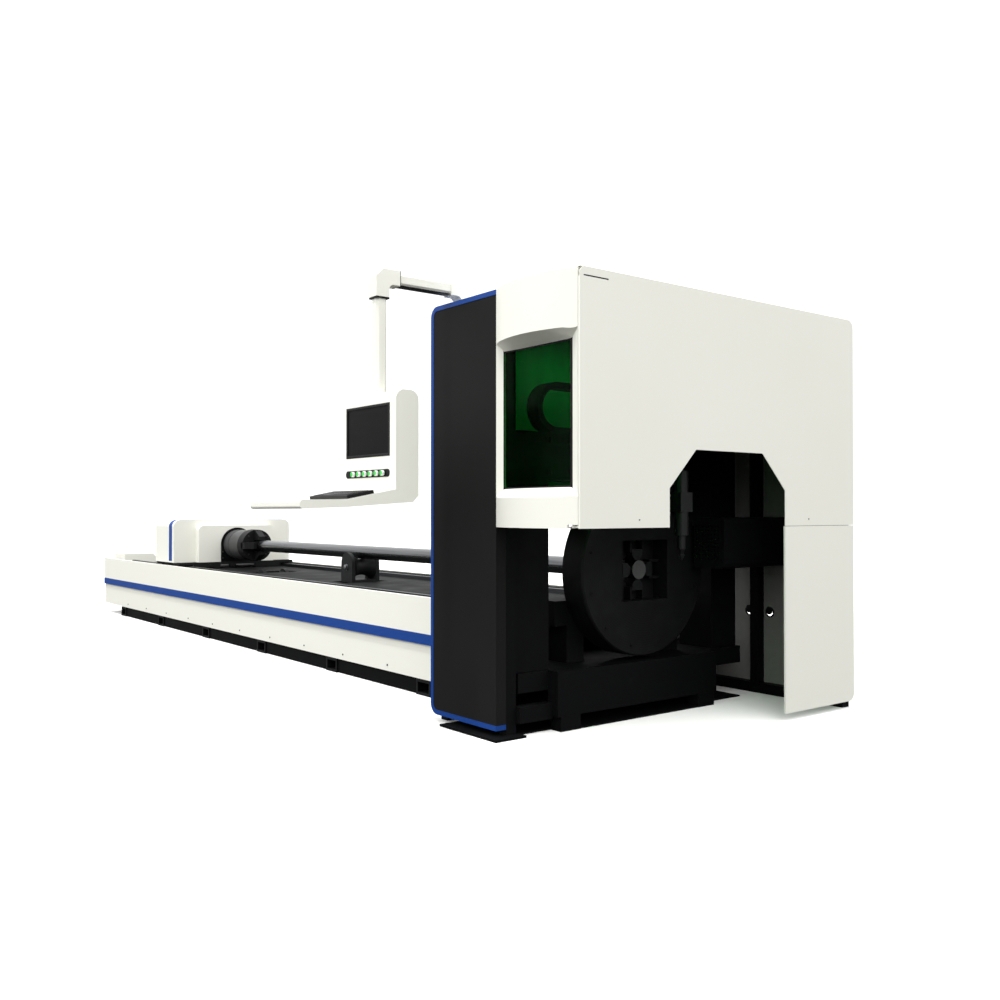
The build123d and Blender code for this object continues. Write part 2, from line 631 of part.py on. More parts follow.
# Square-tube frame of the enclosure, each tube its own solid, and the floor plate
frame_y1 = HOOD_REAR_Y - SHEET
frame_y0 = frame_y1 - POST_D
face_y0 = HOOD_FRONT_Y + TRIM_DEPTH + SHEET
face_y1 = face_y0 + POST_D
rail_z1 = HOOD_TOP_Z - SHEET
rail_z0 = rail_z1 - RAIL_H
frame_xa = HOOD_BACK_X + SHEET
frame_xb = END_X - END_FLANGE - DOOR_GAP
rear_posts = [frame_xb - POST_W / 2, END_X - MID_POST_SETBACK, frame_xa + POST_W / 2]
front_posts = [JOINT_X - POST_W / 2 - DOOR_GAP, frame_xa + POST_W / 2]
plate_x1 = END_X - FLOOR_PLATE_START
plate_x0 = END_X - FLOOR_PLATE_END
plate_y0 = HOOD_FRONT_Y - FLOOR_PLATE_OUT
with BuildPart() as enclosure_frame:
    block(frame_xa, frame_xb, frame_y0, frame_y1, 0, RAIL_H)
    block(frame_xa, frame_xb, frame_y0, frame_y1, rail_z0, rail_z1)
    for x in rear_posts:
        block(x - POST_W / 2, x + POST_W / 2, frame_y0, frame_y1, RAIL_H + WELD_GAP,
              rail_z0 - WELD_GAP)
    for x, z0 in zip(front_posts, (FLOOR_PLATE_T + WELD_GAP, 0)):
        block(x - POST_W / 2, x + POST_W / 2, face_y0, face_y1, z0, rail_z0 - WELD_GAP)
    block(frame_xa, JOINT_X + DOOR_GAP, face_y0, face_y1, rail_z0, rail_z1)
    for x in front_posts:
        block(x - POST_W / 2, x + POST_W / 2, face_y1 + WELD_GAP, frame_y0 - WELD_GAP, rail_z0,
              rail_z1)
    block(JOINT_X + DOOR_GAP + WELD_GAP, frame_xb, DOOR_RAIL_Y, DOOR_RAIL_Y + DOOR_RAIL_W, rail_z0,
          rail_z1)
    block(frame_xb - DOOR_RAIL_W, frame_xb, DOOR_RAIL_Y + DOOR_RAIL_W + WELD_GAP,
          frame_y0 - WELD_GAP, rail_z0, rail_z1)
    block(plate_x0, plate_x1, plate_y0, -BASE_HALF_W, 0, FLOOR_PLATE_T)
    tie_x = JOINT_X - DOOR_GAP
    block(tie_x - TIE_W / 2, tie_x + TIE_W / 2, face_y1 + WELD_GAP, BASE_FRONT_Y, TIE_BASE_Z, TIE_TOP_Z)
save(enclosure_frame.part, "enclosure_frame")

# Blue band round three sides of the dark panel
with BuildPart() as side_trim:
    with BuildSketch(Plane.XZ.offset(-HOOD_FRONT_Y)):
        with BuildLine():
            Polyline((HOOD_BACK_X, HOOD_BASE_Z), (JOINT_X, HOOD_BASE_Z), (JOINT_X, HOOD_TOP_Z),
                     (HOOD_BACK_X, HOOD_TOP_Z), close=True)
        make_face()
        fillet(vertices().group_by(Axis.X)[0], TRIM_CORNER_R)
    extrude(amount=-TRIM_DEPTH)
    with BuildSketch(Plane.XZ.offset(-HOOD_FRONT_Y)):
        with BuildLine():
            Polyline((HOOD_BACK_X + TRIM_W, HOOD_BASE_Z + TRIM_W), (JOINT_X, HOOD_BASE_Z + TRIM_W),
                     (JOINT_X, HOOD_TOP_Z - TRIM_W), (HOOD_BACK_X + TRIM_W, HOOD_TOP_Z - TRIM_W),
                     close=True)
        make_face()
        fillet(vertices().group_by(Axis.X)[0], TRIM_CORNER_R - TRIM_W)
    extrude(amount=-TRIM_DEPTH, mode=Mode.SUBTRACT)
save(side_trim.part, "side_trim")

# Dark side panel: a folded tray inside the blue band
with BuildPart() as side_panel:
    panel_x0 = HOOD_BACK_X + TRIM_W + PANEL_GAP
    panel_z0 = HOOD_BASE_Z + TRIM_W + PANEL_GAP
    panel_z1 = HOOD_TOP_Z - TRIM_W - PANEL_GAP
    with BuildSketch(Plane.XZ.offset(-HOOD_FRONT_Y - PANEL_INSET)):
        with BuildLine():
            Polyline((panel_x0, panel_z0), (JOINT_X, panel_z0), (JOINT_X, panel_z1),
                     (panel_x0, panel_z1), close=True)
        make_face()
        fillet(vertices().group_by(Axis.X)[0], TRIM_CORNER_R - TRIM_W)
    extrude(amount=-(TRIM_DEPTH - PANEL_INSET))
    block(panel_x0 + TRIM_W, JOINT_X - SHEET, HOOD_FRONT_Y + PANEL_INSET + SHEET,
          HOOD_FRONT_Y + TRIM_DEPTH, panel_z0 + TRIM_W, panel_z1 - TRIM_W, Mode.SUBTRACT)
save(side_panel.part, "side_panel")

# End panel of folded sheet with the exit notch, a slot near its top corner
with BuildPart() as end_panel:
    with BuildSketch(Plane.YZ.offset(END_X - SHEET)):
        with BuildLine():
            Polyline((HOOD_FRONT_Y, HOOD_EDGE_Z), (NOTCH_Y0, HOOD_EDGE_Z),
                     (NOTCH_Y0, NOTCH_SHOULDER_Z), (NOTCH_Y - NOTCH_TOP_HALF_W, NOTCH_TOP_Z),
                     (NOTCH_Y + NOTCH_TOP_HALF_W, NOTCH_TOP_Z), (NOTCH_Y1, NOTCH_SHOULDER_Z),
                     (NOTCH_Y1, HOOD_EDGE_Z), (HOOD_REAR_Y, HOOD_EDGE_Z),
                     (HOOD_REAR_Y, HOOD_TOP_Z), (HOOD_FRONT_Y, HOOD_TOP_Z), close=True)
        make_face()
        fillet(vertices().group_by(Axis.Y)[-1].sort_by(Axis.X)[0], END_FRONT_CORNER_R)
        fillet(vertices().group_by(Axis.Y)[-1].sort_by(Axis.X)[-1], END_CORNER_R)
    extrude(amount=SHEET)
    block(END_X - END_FLANGE, END_X, HOOD_FRONT_Y + END_CORNER_R, HOOD_REAR_Y - END_CORNER_R,
          HOOD_TOP_Z - SHEET, HOOD_TOP_Z)
    block(END_X - END_FLANGE, END_X, HOOD_REAR_Y - SHEET, HOOD_REAR_Y, HOOD_EDGE_Z,
          HOOD_TOP_Z - END_CORNER_R)
    block(END_X - END_FLANGE, END_X, HOOD_FRONT_Y + END_CORNER_R, NOTCH_Y0, HOOD_EDGE_Z,
          HOOD_EDGE_Z + SHEET)
    block(END_X - END_FRONT_FLANGE, END_X, HOOD_FRONT_Y, HOOD_FRONT_Y + SHEET, HOOD_EDGE_Z,
          HOOD_TOP_Z - END_CORNER_R)
    slot_y = HOOD_FRONT_Y + SLOT_START
    slot_z = HOOD_TOP_Z - SLOT_DROP
    block(END_X - SHEET, END_X, slot_y, slot_y + SLOT_LENGTH, slot_z - SLOT_H / 2,
          slot_z + SLOT_H / 2, Mode.SUBTRACT)
save(end_panel.part, "end_panel")

# Lower leg of the end wall
with BuildPart() as end_leg_panel:
    with BuildSketch(Plane.YZ.offset(END_X - SHEET)):
        with BuildLine():
            Polyline((NOTCH_Y1, HOOD_BASE_Z), (HOOD_REAR_Y, HOOD_BASE_Z),
                     (HOOD_REAR_Y, HOOD_EDGE_Z - LEG_SEAM), (NOTCH_Y1, HOOD_EDGE_Z - LEG_SEAM),
                     close=True)
        make_face()
        fillet(vertices().group_by(Axis.Y)[0].sort_by(Axis.X)[-1], END_CORNER_R)
    extrude(amount=SHEET)
    block(END_X - END_FLANGE, END_X, HOOD_REAR_Y - SHEET, HOOD_REAR_Y,
          HOOD_BASE_Z + END_CORNER_R, HOOD_EDGE_Z - LEG_SEAM)
    block(END_X - END_FRONT_FLANGE, END_X, NOTCH_Y1, NOTCH_Y1 + SHEET, HOOD_BASE_Z,
          HOOD_EDGE_Z - LEG_SEAM)
save(end_leg_panel.part, "end_leg_panel")

# Roof sheet
roof_x1 = END_X - END_FLANGE
with BuildPart() as top_cover:
    block(HOOD_BACK_X, roof_x1, HOOD_FRONT_Y + TRIM_DEPTH, HOOD_REAR_Y, HOOD_TOP_Z - SHEET,
          HOOD_TOP_Z)
    block(JOINT_X, roof_x1, HOOD_FRONT_Y + SHEET, HOOD_FRONT_Y + TRIM_DEPTH, HOOD_TOP_Z - SHEET,
          HOOD_TOP_Z)
    block(roof_x1, END_X - SHEET, HOOD_FRONT_Y + SHEET, HOOD_FRONT_Y + END_CORNER_R,
          HOOD_TOP_Z - SHEET, HOOD_TOP_Z)
    block(END_X - SHEET - END_FLANGE, END_X - SHEET, HOOD_FRONT_Y + END_CORNER_R - SHEET,
          HOOD_FRONT_Y + END_CORNER_R, HOOD_TOP_Z - SHEET - SHEET, HOOD_TOP_Z)
save(top_cover.part, "top_cover")

# Rear wall sheet with two round cable holes and the extraction port hole
duct_x = END_X - (DUCT_START + DUCT_END) / 2
duct_z = (DUCT_BASE_Z + DUCT_TOP_Z) / 2
with BuildPart() as rear_panel:
    block(HOOD_BACK_X, END_X - END_FLANGE, HOOD_REAR_Y - SHEET, HOOD_REAR_Y, HOOD_BASE_Z,
          HOOD_TOP_Z - SHEET)
    for i in range(2):
        bar_y(END_X - REAR_HOLE_SETBACK - i * REAR_HOLE_PITCH, HOOD_REAR_Y - SHEET, HOOD_REAR_Y,
              REAR_HOLE_Z, REAR_HOLE_R, Mode.SUBTRACT)
    bar_y(duct_x, HOOD_REAR_Y - SHEET, HOOD_REAR_Y, duct_z, DUCT_NECK_R + FIT_GAP, Mode.SUBTRACT)
save(rear_panel.part, "rear_panel")

# Entry wall above and beside the bed opening
with BuildPart() as entry_wall:
    block(HOOD_BACK_X, HOOD_BACK_X + SHEET, HOOD_FRONT_Y + TRIM_DEPTH, HOOD_REAR_Y - SHEET,
          ENTRY_TOP_Z, HOOD_TOP_Z - SHEET)
    for y0, y1 in ((HOOD_FRONT_Y + TRIM_DEPTH, -ENTRY_HALF_W), (ENTRY_HALF_W, HOOD_REAR_Y - SHEET)):
        block(HOOD_BACK_X, HOOD_BACK_X + SHEET, y0, y1, HOOD_BASE_Z, ENTRY_TOP_Z - WELD_GAP)
save(entry_wall.part, "entry_wall")

# Extraction duct from the cutting point to the rear wall, with a round port through it
duct_x0 = END_X - DUCT_END
duct_x1 = END_X - DUCT_START
with BuildPart() as extraction_duct:
    block(duct_x0, duct_x1, DUCT_FRONT_Y, frame_y0, DUCT_BASE_Z, DUCT_TOP_Z)
    fillet(extraction_duct.edges().filter_by(Axis.Y).group_by(Axis.X)[-1], DUCT_EDGE_R)
    block(duct_x0 + DUCT_WALL, duct_x1 - DUCT_EDGE_R, DUCT_FRONT_Y + DUCT_WALL, frame_y0 - DUCT_WALL,
          DUCT_BASE_Z + DUCT_WALL, DUCT_TOP_Z - DUCT_WALL, Mode.SUBTRACT)
    bar_y(duct_x, frame_y0 - DUCT_WALL, HOOD_REAR_Y, duct_z, DUCT_NECK_R)
    bar_y(duct_x, HOOD_REAR_Y, HOOD_REAR_Y + DUCT_PORT_LENGTH, duct_z, DUCT_PORT_R)
    bar_y(duct_x, frame_y0 - DUCT_WALL, HOOD_REAR_Y + DUCT_PORT_LENGTH, duct_z,
          DUCT_NECK_R - DUCT_PORT_WALL, Mode.SUBTRACT)
    with BuildSketch(Plane.XZ.offset(-DUCT_FRONT_Y)):
        with Locations((duct_x - DUCT_EDGE_R / 2, duct_z)):
            with GridLocations(DUCT_HOLE_PITCH, DUCT_HOLE_PITCH, DUCT_HOLE_COLUMNS,
                               DUCT_HOLE_ROWS):
                Circle(DUCT_HOLE_R)
    extrude(amount=-DUCT_WALL, mode=Mode.SUBTRACT)
save(extraction_duct.part, "extraction_duct")

# Pivot pins of the door: one on a plate at the bottom, one under the roof
pivot_x = END_X - PIVOT_SETBACK
pivot_y = HOOD_FRONT_Y + PIVOT_INSET
pivot_low_z = HOOD_EDGE_Z + SHEET + PIVOT_PLATE_T
with BuildPart() as door_pivots:
    block(pivot_x - PIVOT_R - SHEET, END_X - SHEET, HOOD_FRONT_Y + SHEET,
          pivot_y + PIVOT_PLATE_LENGTH, HOOD_EDGE_Z + SHEET, pivot_low_z)
    bar_z(pivot_x, pivot_y, HOOD_EDGE_Z + SHEET, pivot_low_z, PIVOT_R + SHEET)
    bar_z(pivot_x, pivot_y, pivot_low_z, pivot_low_z + PIVOT_LENGTH, PIVOT_R)
    bar_z(pivot_x, pivot_y, HOOD_TOP_Z - SHEET - PIVOT_LENGTH, HOOD_TOP_Z - SHEET, PIVOT_R)
save(door_pivots.part, "door_pivots")

# Door: a bulged shell, scooped out down to the flat window
door_x0 = JOINT_X + DOOR_GAP
door_x1 = END_X - DOOR_HINGE_GAP
door_z0 = HOOD_EDGE_Z
door_z1 = HOOD_TOP_Z - DOOR_TOP_GAP
door_back_y = HOOD_FRONT_Y + DOOR_DEPTH
door_mid_x = (door_x0 + door_x1) / 2
door_half = (door_x1 - door_x0) / 2
door_r = (door_half ** 2 + DOOR_SAG ** 2) / (2 * DOOR_SAG)
window_x0 = END_X - WINDOW_END
window_x1 = END_X - WINDOW_START
window_y = HOOD_FRONT_Y + WINDOW_DEPTH


def bulge_y(x):
    rise = math.sqrt(door_r ** 2 - (x - door_mid_x) ** 2) - (door_r - DOOR_SAG)
    return HOOD_FRONT_Y - rise


def lens(z, height, inset, back_y, mode):
    half = door_half - inset
    with BuildSketch(Plane.XY.offset(z)) as profile:
        with BuildLine():
            ThreePointArc((door_mid_x - half, HOOD_FRONT_Y + inset),
                          (door_mid_x, HOOD_FRONT_Y - DOOR_SAG + inset),
                          (door_mid_x + half, HOOD_FRONT_Y + inset))
            Polyline((door_mid_x + half, HOOD_FRONT_Y + inset), (door_mid_x + half, back_y),
                     (door_mid_x - half, back_y), (door_mid_x - half, HOOD_FRONT_Y + inset))
        make_face()
    extrude(profile.sketch, amount=height, mode=mode)


def scoop_section(x, inner_y, top_z, base_z, out_y):
    slope_top = (SCOOP_TOP_Z - top_z) / max(inner_y - out_y, SHEET)
    slope_base = (base_z - SCOOP_BASE_Z) / max(inner_y - out_y, SHEET)
    with BuildSketch(Plane.YZ.offset(x)) as quad:
        with BuildLine():
            Polyline((out_y - SCOOP_OVERRUN, SCOOP_TOP_Z + slope_top * SCOOP_OVERRUN),
                     (inner_y, top_z), (inner_y, base_z),
                     (out_y - SCOOP_OVERRUN, SCOOP_BASE_Z - slope_base * SCOOP_OVERRUN),
                     close=True)
        make_face()
    return quad.sketch


with BuildPart() as door_shell:
    lens(door_z0, door_z1 - door_z0, 0, door_back_y, Mode.ADD)
    step = (window_x1 - window_x0) / (SCOOP_STATIONS - 1)
    stations = [window_x0 + i * step for i in range(SCOOP_STATIONS)]
    loft([scoop_section(x, window_y, WINDOW_TOP_Z, WINDOW_BASE_Z, bulge_y(x)) for x in stations],
         mode=Mode.SUBTRACT)
    for edge_x, side_x in ((door_x0, window_x0), (door_x1, window_x1)):
        loft([scoop_section(edge_x, HOOD_FRONT_Y, SCOOP_TOP_Z, SCOOP_BASE_Z, HOOD_FRONT_Y),
              scoop_section(side_x, window_y, WINDOW_TOP_Z, WINDOW_BASE_Z, bulge_y(side_x))],
             ruled=True, mode=Mode.SUBTRACT)
    block(window_x0, window_x1, window_y, door_back_y, WINDOW_BASE_Z, WINDOW_TOP_Z, Mode.SUBTRACT)
    lens(SCOOP_TOP_Z + DOOR_RIM, door_z1 - SCOOP_TOP_Z - 2 * DOOR_RIM, DOOR_RIM, door_back_y,
         Mode.SUBTRACT)
    lens(door_z0 + DOOR_RIM, SCOOP_BASE_Z - door_z0 - 2 * DOOR_RIM, DOOR_RIM, door_back_y,
         Mode.SUBTRACT)
    pivot_z1 = door_z1 - DOOR_RIM - PIVOT_BLOCK_H
    notch_z = pivot_low_z + PIVOT_NOTCH_H - PIVOT_PLATE_T
    for z0, z1 in ((notch_z, notch_z + PIVOT_BLOCK_H), (pivot_z1, door_z1)):
        block(pivot_x - PIVOT_BLOCK, pivot_x + PIVOT_BLOCK_FRONT, HOOD_FRONT_Y - PIVOT_BLOCK_OUT,
              door_back_y, z0, z1)
    block(pivot_x - PIVOT_R - SHEET - PIVOT_NOTCH_GAP, END_X, HOOD_FRONT_Y - DOOR_SAG, door_back_y,
          door_z0, notch_z, Mode.SUBTRACT)
    bar_z(pivot_x, pivot_y, door_z0, notch_z + PIVOT_LENGTH + SHEET, PIVOT_R + SHAFT_GAP,
          Mode.SUBTRACT)
    bar_z(pivot_x, pivot_y, door_z1 - PIVOT_LENGTH - SHEET, door_z1, PIVOT_R + SHAFT_GAP,
          Mode.SUBTRACT)
save(door_shell.part, "door_shell")

# Green laser-safe pane set in the door
with BuildPart() as window_pane:
    block(window_x0 + FIT_GAP, window_x1 - FIT_GAP, door_back_y - PANE_T, door_back_y,
          WINDOW_BASE_Z + FIT_GAP, WINDOW_TOP_Z - FIT_GAP)
save(window_pane.part, "window_pane")

# Front chuck drum with a square recess, jaw rails in it and a hollow hub
drum_x1 = END_X - DRUM_SETBACK
drum_x0 = drum_x1 - DRUM_DEPTH
with BuildPart() as front_chuck:
    bar_x(drum_x0, drum_x1, 0, TUBE_AXIS_Z, DRUM_R)
    chamfer(front_chuck.edges().filter_by(GeomType.CIRCLE).group_by(Axis.X)[-1], DRUM_EDGE)
    bar_x(drum_x0 - HUB_LENGTH, drum_x0, 0, TUBE_AXIS_Z, HUB_R)
    block(drum_x1 - RECESS_DEPTH, drum_x1, -RECESS_W / 2, RECESS_W / 2,
          TUBE_AXIS_Z - RECESS_H / 2, TUBE_AXIS_Z + RECESS_H / 2, Mode.SUBTRACT)
    bar_x(drum_x0 - HUB_LENGTH, drum_x1, 0, TUBE_AXIS_Z, HUB_BORE_R, Mode.SUBTRACT)
    rail_x0 = drum_x1 - RECESS_DEPTH
    rail_in = FRONT_JAW_W / 2 + JAW_RAIL_GAP
    rail_out = rail_in + JAW_RAIL_W
    for along in (-1, 1):
        for across in (-1, 1):
            block(rail_x0, rail_x0 + JAW_RAIL_DEPTH, across * rail_in, across * rail_out,
                  TUBE_AXIS_Z + along * JAW_RAIL_START, TUBE_AXIS_Z + along * RECESS_H / 2)
            block(rail_x0, rail_x0 + JAW_RAIL_DEPTH, along * JAW_RAIL_START, along * RECESS_W / 2,
                  TUBE_AXIS_Z + across * rail_in, TUBE_AXIS_Z + across * rail_out)
save(front_chuck.part, "front_chuck")

# Four front jaws that close on the tube from the sides of the recess
jaw_x0 = drum_x1 - RECESS_DEPTH
jaw_r0 = TUBE_R + FIT_GAP
for index in range(4):
    angle = math.radians(90 * index)
    radial = (0, math.sin(angle), math.cos(angle))
    with BuildPart() as front_jaw:
        with BuildSketch(Plane((jaw_x0, 0, TUBE_AXIS_Z), x_dir=radial, z_dir=(1, 0, 0))):
            with BuildLine():
                Polyline((jaw_r0, -FRONT_JAW_TIP_W / 2), (jaw_r0, FRONT_JAW_TIP_W / 2),
                         (jaw_r0 + FRONT_JAW_TIP_LENGTH, FRONT_JAW_W / 2),
                         (jaw_r0 + FRONT_JAW_LENGTH, FRONT_JAW_W / 2),
                         (jaw_r0 + FRONT_JAW_LENGTH, -FRONT_JAW_W / 2),
                         (jaw_r0 + FRONT_JAW_TIP_LENGTH, -FRONT_JAW_W / 2), close=True)
            make_face()
        extrude(amount=FRONT_JAW_DEPTH)
    save(front_jaw.part, "front_jaw_" + str(index + 1))

# Rear carriage: base plate with an apron, rail sliders and two bumpers
nose_x = cover_front_x + NOSE_LENGTH
plate_front_x = nose_x + CARRIAGE_NOSE_OUT
cover_back_x = cover_front_x - COVER_LENGTH
plate_z0 = CARRIAGE_PLATE_TOP_Z - CARRIAGE_PLATE_T
rail_z = DECK_TOP_Z + RAIL_TALL
with BuildPart() as carriage_base:
    block(cover_back_x, plate_front_x, -COVER_HALF_W + CARRIAGE_PLATE_INSET,
          COVER_HALF_W - CARRIAGE_PLATE_INSET, plate_z0, CARRIAGE_PLATE_TOP_Z)
    for y0, y1 in ((-APRON_HALF_W, -APRON_GAP_HALF), (APRON_GAP_HALF, APRON_HALF_W)):
        block(plate_front_x - CARRIAGE_APRON_T, plate_front_x, y0, y1, CARRIAGE_APRON_Z, plate_z0)
    tab_y = BUMPER_Y + BUMPER_PITCH
    block(plate_front_x - CARRIAGE_APRON_T, plate_front_x, tab_y - APRON_TAB_HALF_W,
          tab_y + APRON_TAB_HALF_W, APRON_TAB_Z, plate_z0)
    for y in (-RAIL_Y, RAIL_Y):
        for x in (cover_back_x, plate_front_x - SLIDER_LENGTH - CARRIAGE_APRON_T):
            block(x, x + SLIDER_LENGTH, y - SLIDER_W / 2, min(y + SLIDER_W / 2, deck_y1 - DECK_CURB_INSET
                  - DECK_CURB_W - SLIDER_GAP), DECK_TOP_Z + SLIDER_GAP, plate_z0)
    for y in (-RAIL_Y, RAIL_Y):
        block(cover_back_x, plate_front_x, y - RAIL_W / 2 - SLIDE_CLEARANCE,
              y + RAIL_W / 2 + SLIDE_CLEARANCE, DECK_TOP_Z, rail_z + SLIDE_CLEARANCE, Mode.SUBTRACT)
    for i in range(2):
        bar_x(plate_front_x, plate_front_x + BUMPER_LENGTH, BUMPER_Y + i * BUMPER_PITCH, BUMPER_Z,
              BUMPER_R)
save(carriage_base.part, "carriage_base")

# White carriage cover with a raised nose, open below
arch_r = SPINDLE_R + FIT_GAP


def hump(x0, length, half_w, top_z, radius, mode):
    with BuildSketch(Plane.YZ.offset(x0)) as profile:
        with BuildLine():
            Polyline((-half_w, CARRIAGE_PLATE_TOP_Z), (half_w, CARRIAGE_PLATE_TOP_Z),
                     (half_w, top_z), (-half_w, top_z), close=True)
        make_face()
        fillet(vertices().group_by(Axis.Y)[-1], radius)
    extrude(profile.sketch, amount=length, mode=mode)


with BuildPart() as carriage_cover:
    hump(cover_back_x, COVER_LENGTH, COVER_HALF_W, COVER_TOP_Z, COVER_CORNER_R, Mode.ADD)
    hump(cover_front_x - COVER_WALL, NOSE_LENGTH + COVER_WALL, NOSE_HALF_W, NOSE_TOP_Z,
         NOSE_CORNER_R, Mode.ADD)
    hump(cover_back_x + COVER_WALL, COVER_LENGTH - 2 * COVER_WALL, COVER_HALF_W - COVER_WALL,
         COVER_TOP_Z - COVER_WALL, COVER_CORNER_R - COVER_WALL, Mode.SUBTRACT)
    hump(cover_front_x - 2 * COVER_WALL, NOSE_LENGTH + COVER_WALL, NOSE_HALF_W - COVER_WALL,
         NOSE_TOP_Z - COVER_WALL, NOSE_CORNER_R - COVER_WALL, Mode.SUBTRACT)
    bar_x(nose_x - COVER_WALL, nose_x, 0, TUBE_AXIS_Z, arch_r, Mode.SUBTRACT)
save(carriage_cover.part, "carriage_cover")

# Black arched plate round the spindle
with BuildPart() as spindle_flange:
    with BuildSketch(Plane.YZ.offset(nose_x)):
        with BuildLine():
            Polyline((-FLANGE_HALF_W, TUBE_AXIS_Z), (-FLANGE_HALF_W, CARRIAGE_PLATE_TOP_Z),
                     (FLANGE_HALF_W, CARRIAGE_PLATE_TOP_Z), (FLANGE_HALF_W, TUBE_AXIS_Z))
            ThreePointArc((FLANGE_HALF_W, TUBE_AXIS_Z), (0, TUBE_AXIS_Z + FLANGE_HALF_W),
                          (-FLANGE_HALF_W, TUBE_AXIS_Z))
        make_face()
    extrude(amount=FLANGE_T)
    bar_x(nose_x, nose_x + FLANGE_T, 0, TUBE_AXIS_Z, arch_r, Mode.SUBTRACT)
save(spindle_flange.part, "spindle_flange")

# Grey spindle housing that carries the rear chuck
spindle_x1 = cover_front_x + SPINDLE_LEAD
with BuildPart() as spindle_housing:
    bar_x(cover_front_x, spindle_x1, 0, TUBE_AXIS_Z, SPINDLE_R)
    band_x = spindle_x1 - SPINDLE_BAND_BACK
    bar_x(band_x, band_x + SPINDLE_BAND_T, 0, TUBE_AXIS_Z, SPINDLE_BAND_R)
    bar_x(cover_front_x, spindle_x1, 0, TUBE_AXIS_Z, SPINDLE_BORE_R, Mode.SUBTRACT)
save(spindle_housing.part, "spindle_housing")

# Rear chuck body with four radial jaw slots
chuck_x1 = spindle_x1 + CHUCK_LENGTH
chuck_x0 = spindle_x1 + CHUCK_BACK_GAP
with BuildPart() as rear_chuck:
    bar_x(chuck_x0, chuck_x1, 0, TUBE_AXIS_Z, CHUCK_R)
    bar_x(chuck_x0 - CHUCK_R, chuck_x0, 0, TUBE_AXIS_Z, SPINDLE_BORE_R - SHAFT_GAP)
    bar_x(chuck_x0 - CHUCK_R, chuck_x1, 0, TUBE_AXIS_Z, TUBE_R + FIT_GAP, Mode.SUBTRACT)
    slot_half = JAW_W / 2 + FIT_GAP
    block(chuck_x1 - CHUCK_SLOT_DEPTH, chuck_x1, -slot_half, slot_half, TUBE_AXIS_Z - CHUCK_R,
          TUBE_AXIS_Z + CHUCK_R, Mode.SUBTRACT)
    block(chuck_x1 - CHUCK_SLOT_DEPTH, chuck_x1, -CHUCK_R, CHUCK_R, TUBE_AXIS_Z - slot_half,
          TUBE_AXIS_Z + slot_half, Mode.SUBTRACT)
save(rear_chuck.part, "rear_chuck")

# Four long rear jaws that reach forward over the tube
heel_x = chuck_x1 - CHUCK_SLOT_DEPTH + FIT_GAP
for index in range(4):
    angle = math.radians(90 * index)
    with BuildPart() as rear_jaw:
        with BuildSketch(Plane((0, 0, TUBE_AXIS_Z), x_dir=(1, 0, 0),
                               z_dir=(0, -math.cos(angle), math.sin(angle)))):
            with BuildLine():
                Polyline((heel_x, jaw_r0), (chuck_x1 + JAW_REACH, jaw_r0),
                         (chuck_x1 + JAW_REACH, JAW_TIP_R), (chuck_x1 + JAW_HEEL, JAW_OUTER_R),
                         (heel_x, JAW_OUTER_R), close=True)
            make_face()
        extrude(amount=JAW_W / 2, both=True)
    save(rear_jaw.part, "rear_jaw_" + str(index + 1))

# Workpiece tube held by both chucks, its front end closed
with BuildPart() as workpiece_tube:
    tube_x0 = cover_front_x + TUBE_TAIL_LEAD
    tube_x1 = END_X - TUBE_FRONT_SETBACK
    bar_x(tube_x0, tube_x1, 0, TUBE_AXIS_Z, TUBE_R)
    bar_x(tube_x0, tube_x1 - TUBE_PLUG_T, 0, TUBE_AXIS_Z, TUBE_R - TUBE_WALL, Mode.SUBTRACT)
save(workpiece_tube.part, "workpiece_tube")

# Lifting supports: forked bracket on a guide post, hourglass roller between its cheeks
roller_z = TUBE_AXIS_Z - TUBE_R - ROLLER_TUBE_GAP - ROLLER_WAIST_R
for name, x, drop in (("a", support_xs[0], SUPPORT_DROP), ("b", support_xs[1], 0)):
    with BuildPart() as bracket:
        for side in (-1, 1):
            y0 = side * BRACKET_INNER_Y
            y1 = side * (BRACKET_INNER_Y + BRACKET_T)
            top_z = BRACKET_TOP_Z - BRACKET_W / 2 - drop
            block(x - BRACKET_W / 2, x + BRACKET_W / 2, y0, y1, BRACKET_BASE_Z - drop, top_z)
            bar_y(x, y0, y1, top_z, BRACKET_W / 2)
            bar_y(x, y0, y1, roller_z - drop, ROLLER_SHAFT_R + SHAFT_GAP, Mode.SUBTRACT)
        block(x - BRACKET_W / 2, x + BRACKET_W / 2, -BRACKET_INNER_Y, BRACKET_INNER_Y,
              BRACKET_BASE_Z - drop, BRACKET_BASE_Z + BRACKET_BASE_T - drop)
        bar_z(x, 0, GUIDE_POST_BASE_Z - drop, BRACKET_BASE_Z - drop, GUIDE_POST_R)
    save(bracket.part, "support_" + name)
    with BuildPart() as roller:
        with BuildSketch(Plane.YZ.offset(x)):
            z = roller_z - drop
            shaft_y = BRACKET_INNER_Y + BRACKET_T
            with BuildLine():
                Polyline((-ROLLER_HALF_W, z + ROLLER_END_R), (-ROLLER_HALF_W, z + ROLLER_SHAFT_R),
                         (-shaft_y, z + ROLLER_SHAFT_R), (-shaft_y, z), (shaft_y, z),
                         (shaft_y, z + ROLLER_SHAFT_R), (ROLLER_HALF_W, z + ROLLER_SHAFT_R),
                         (ROLLER_HALF_W, z + ROLLER_END_R))
                ThreePointArc((ROLLER_HALF_W, z + ROLLER_END_R), (0, z + ROLLER_WAIST_R),
                              (-ROLLER_HALF_W, z + ROLLER_END_R))
            make_face()
        revolve(axis=Axis((x, 0, z), (0, 1, 0)))
    save(roller.part, "roller_" + name)

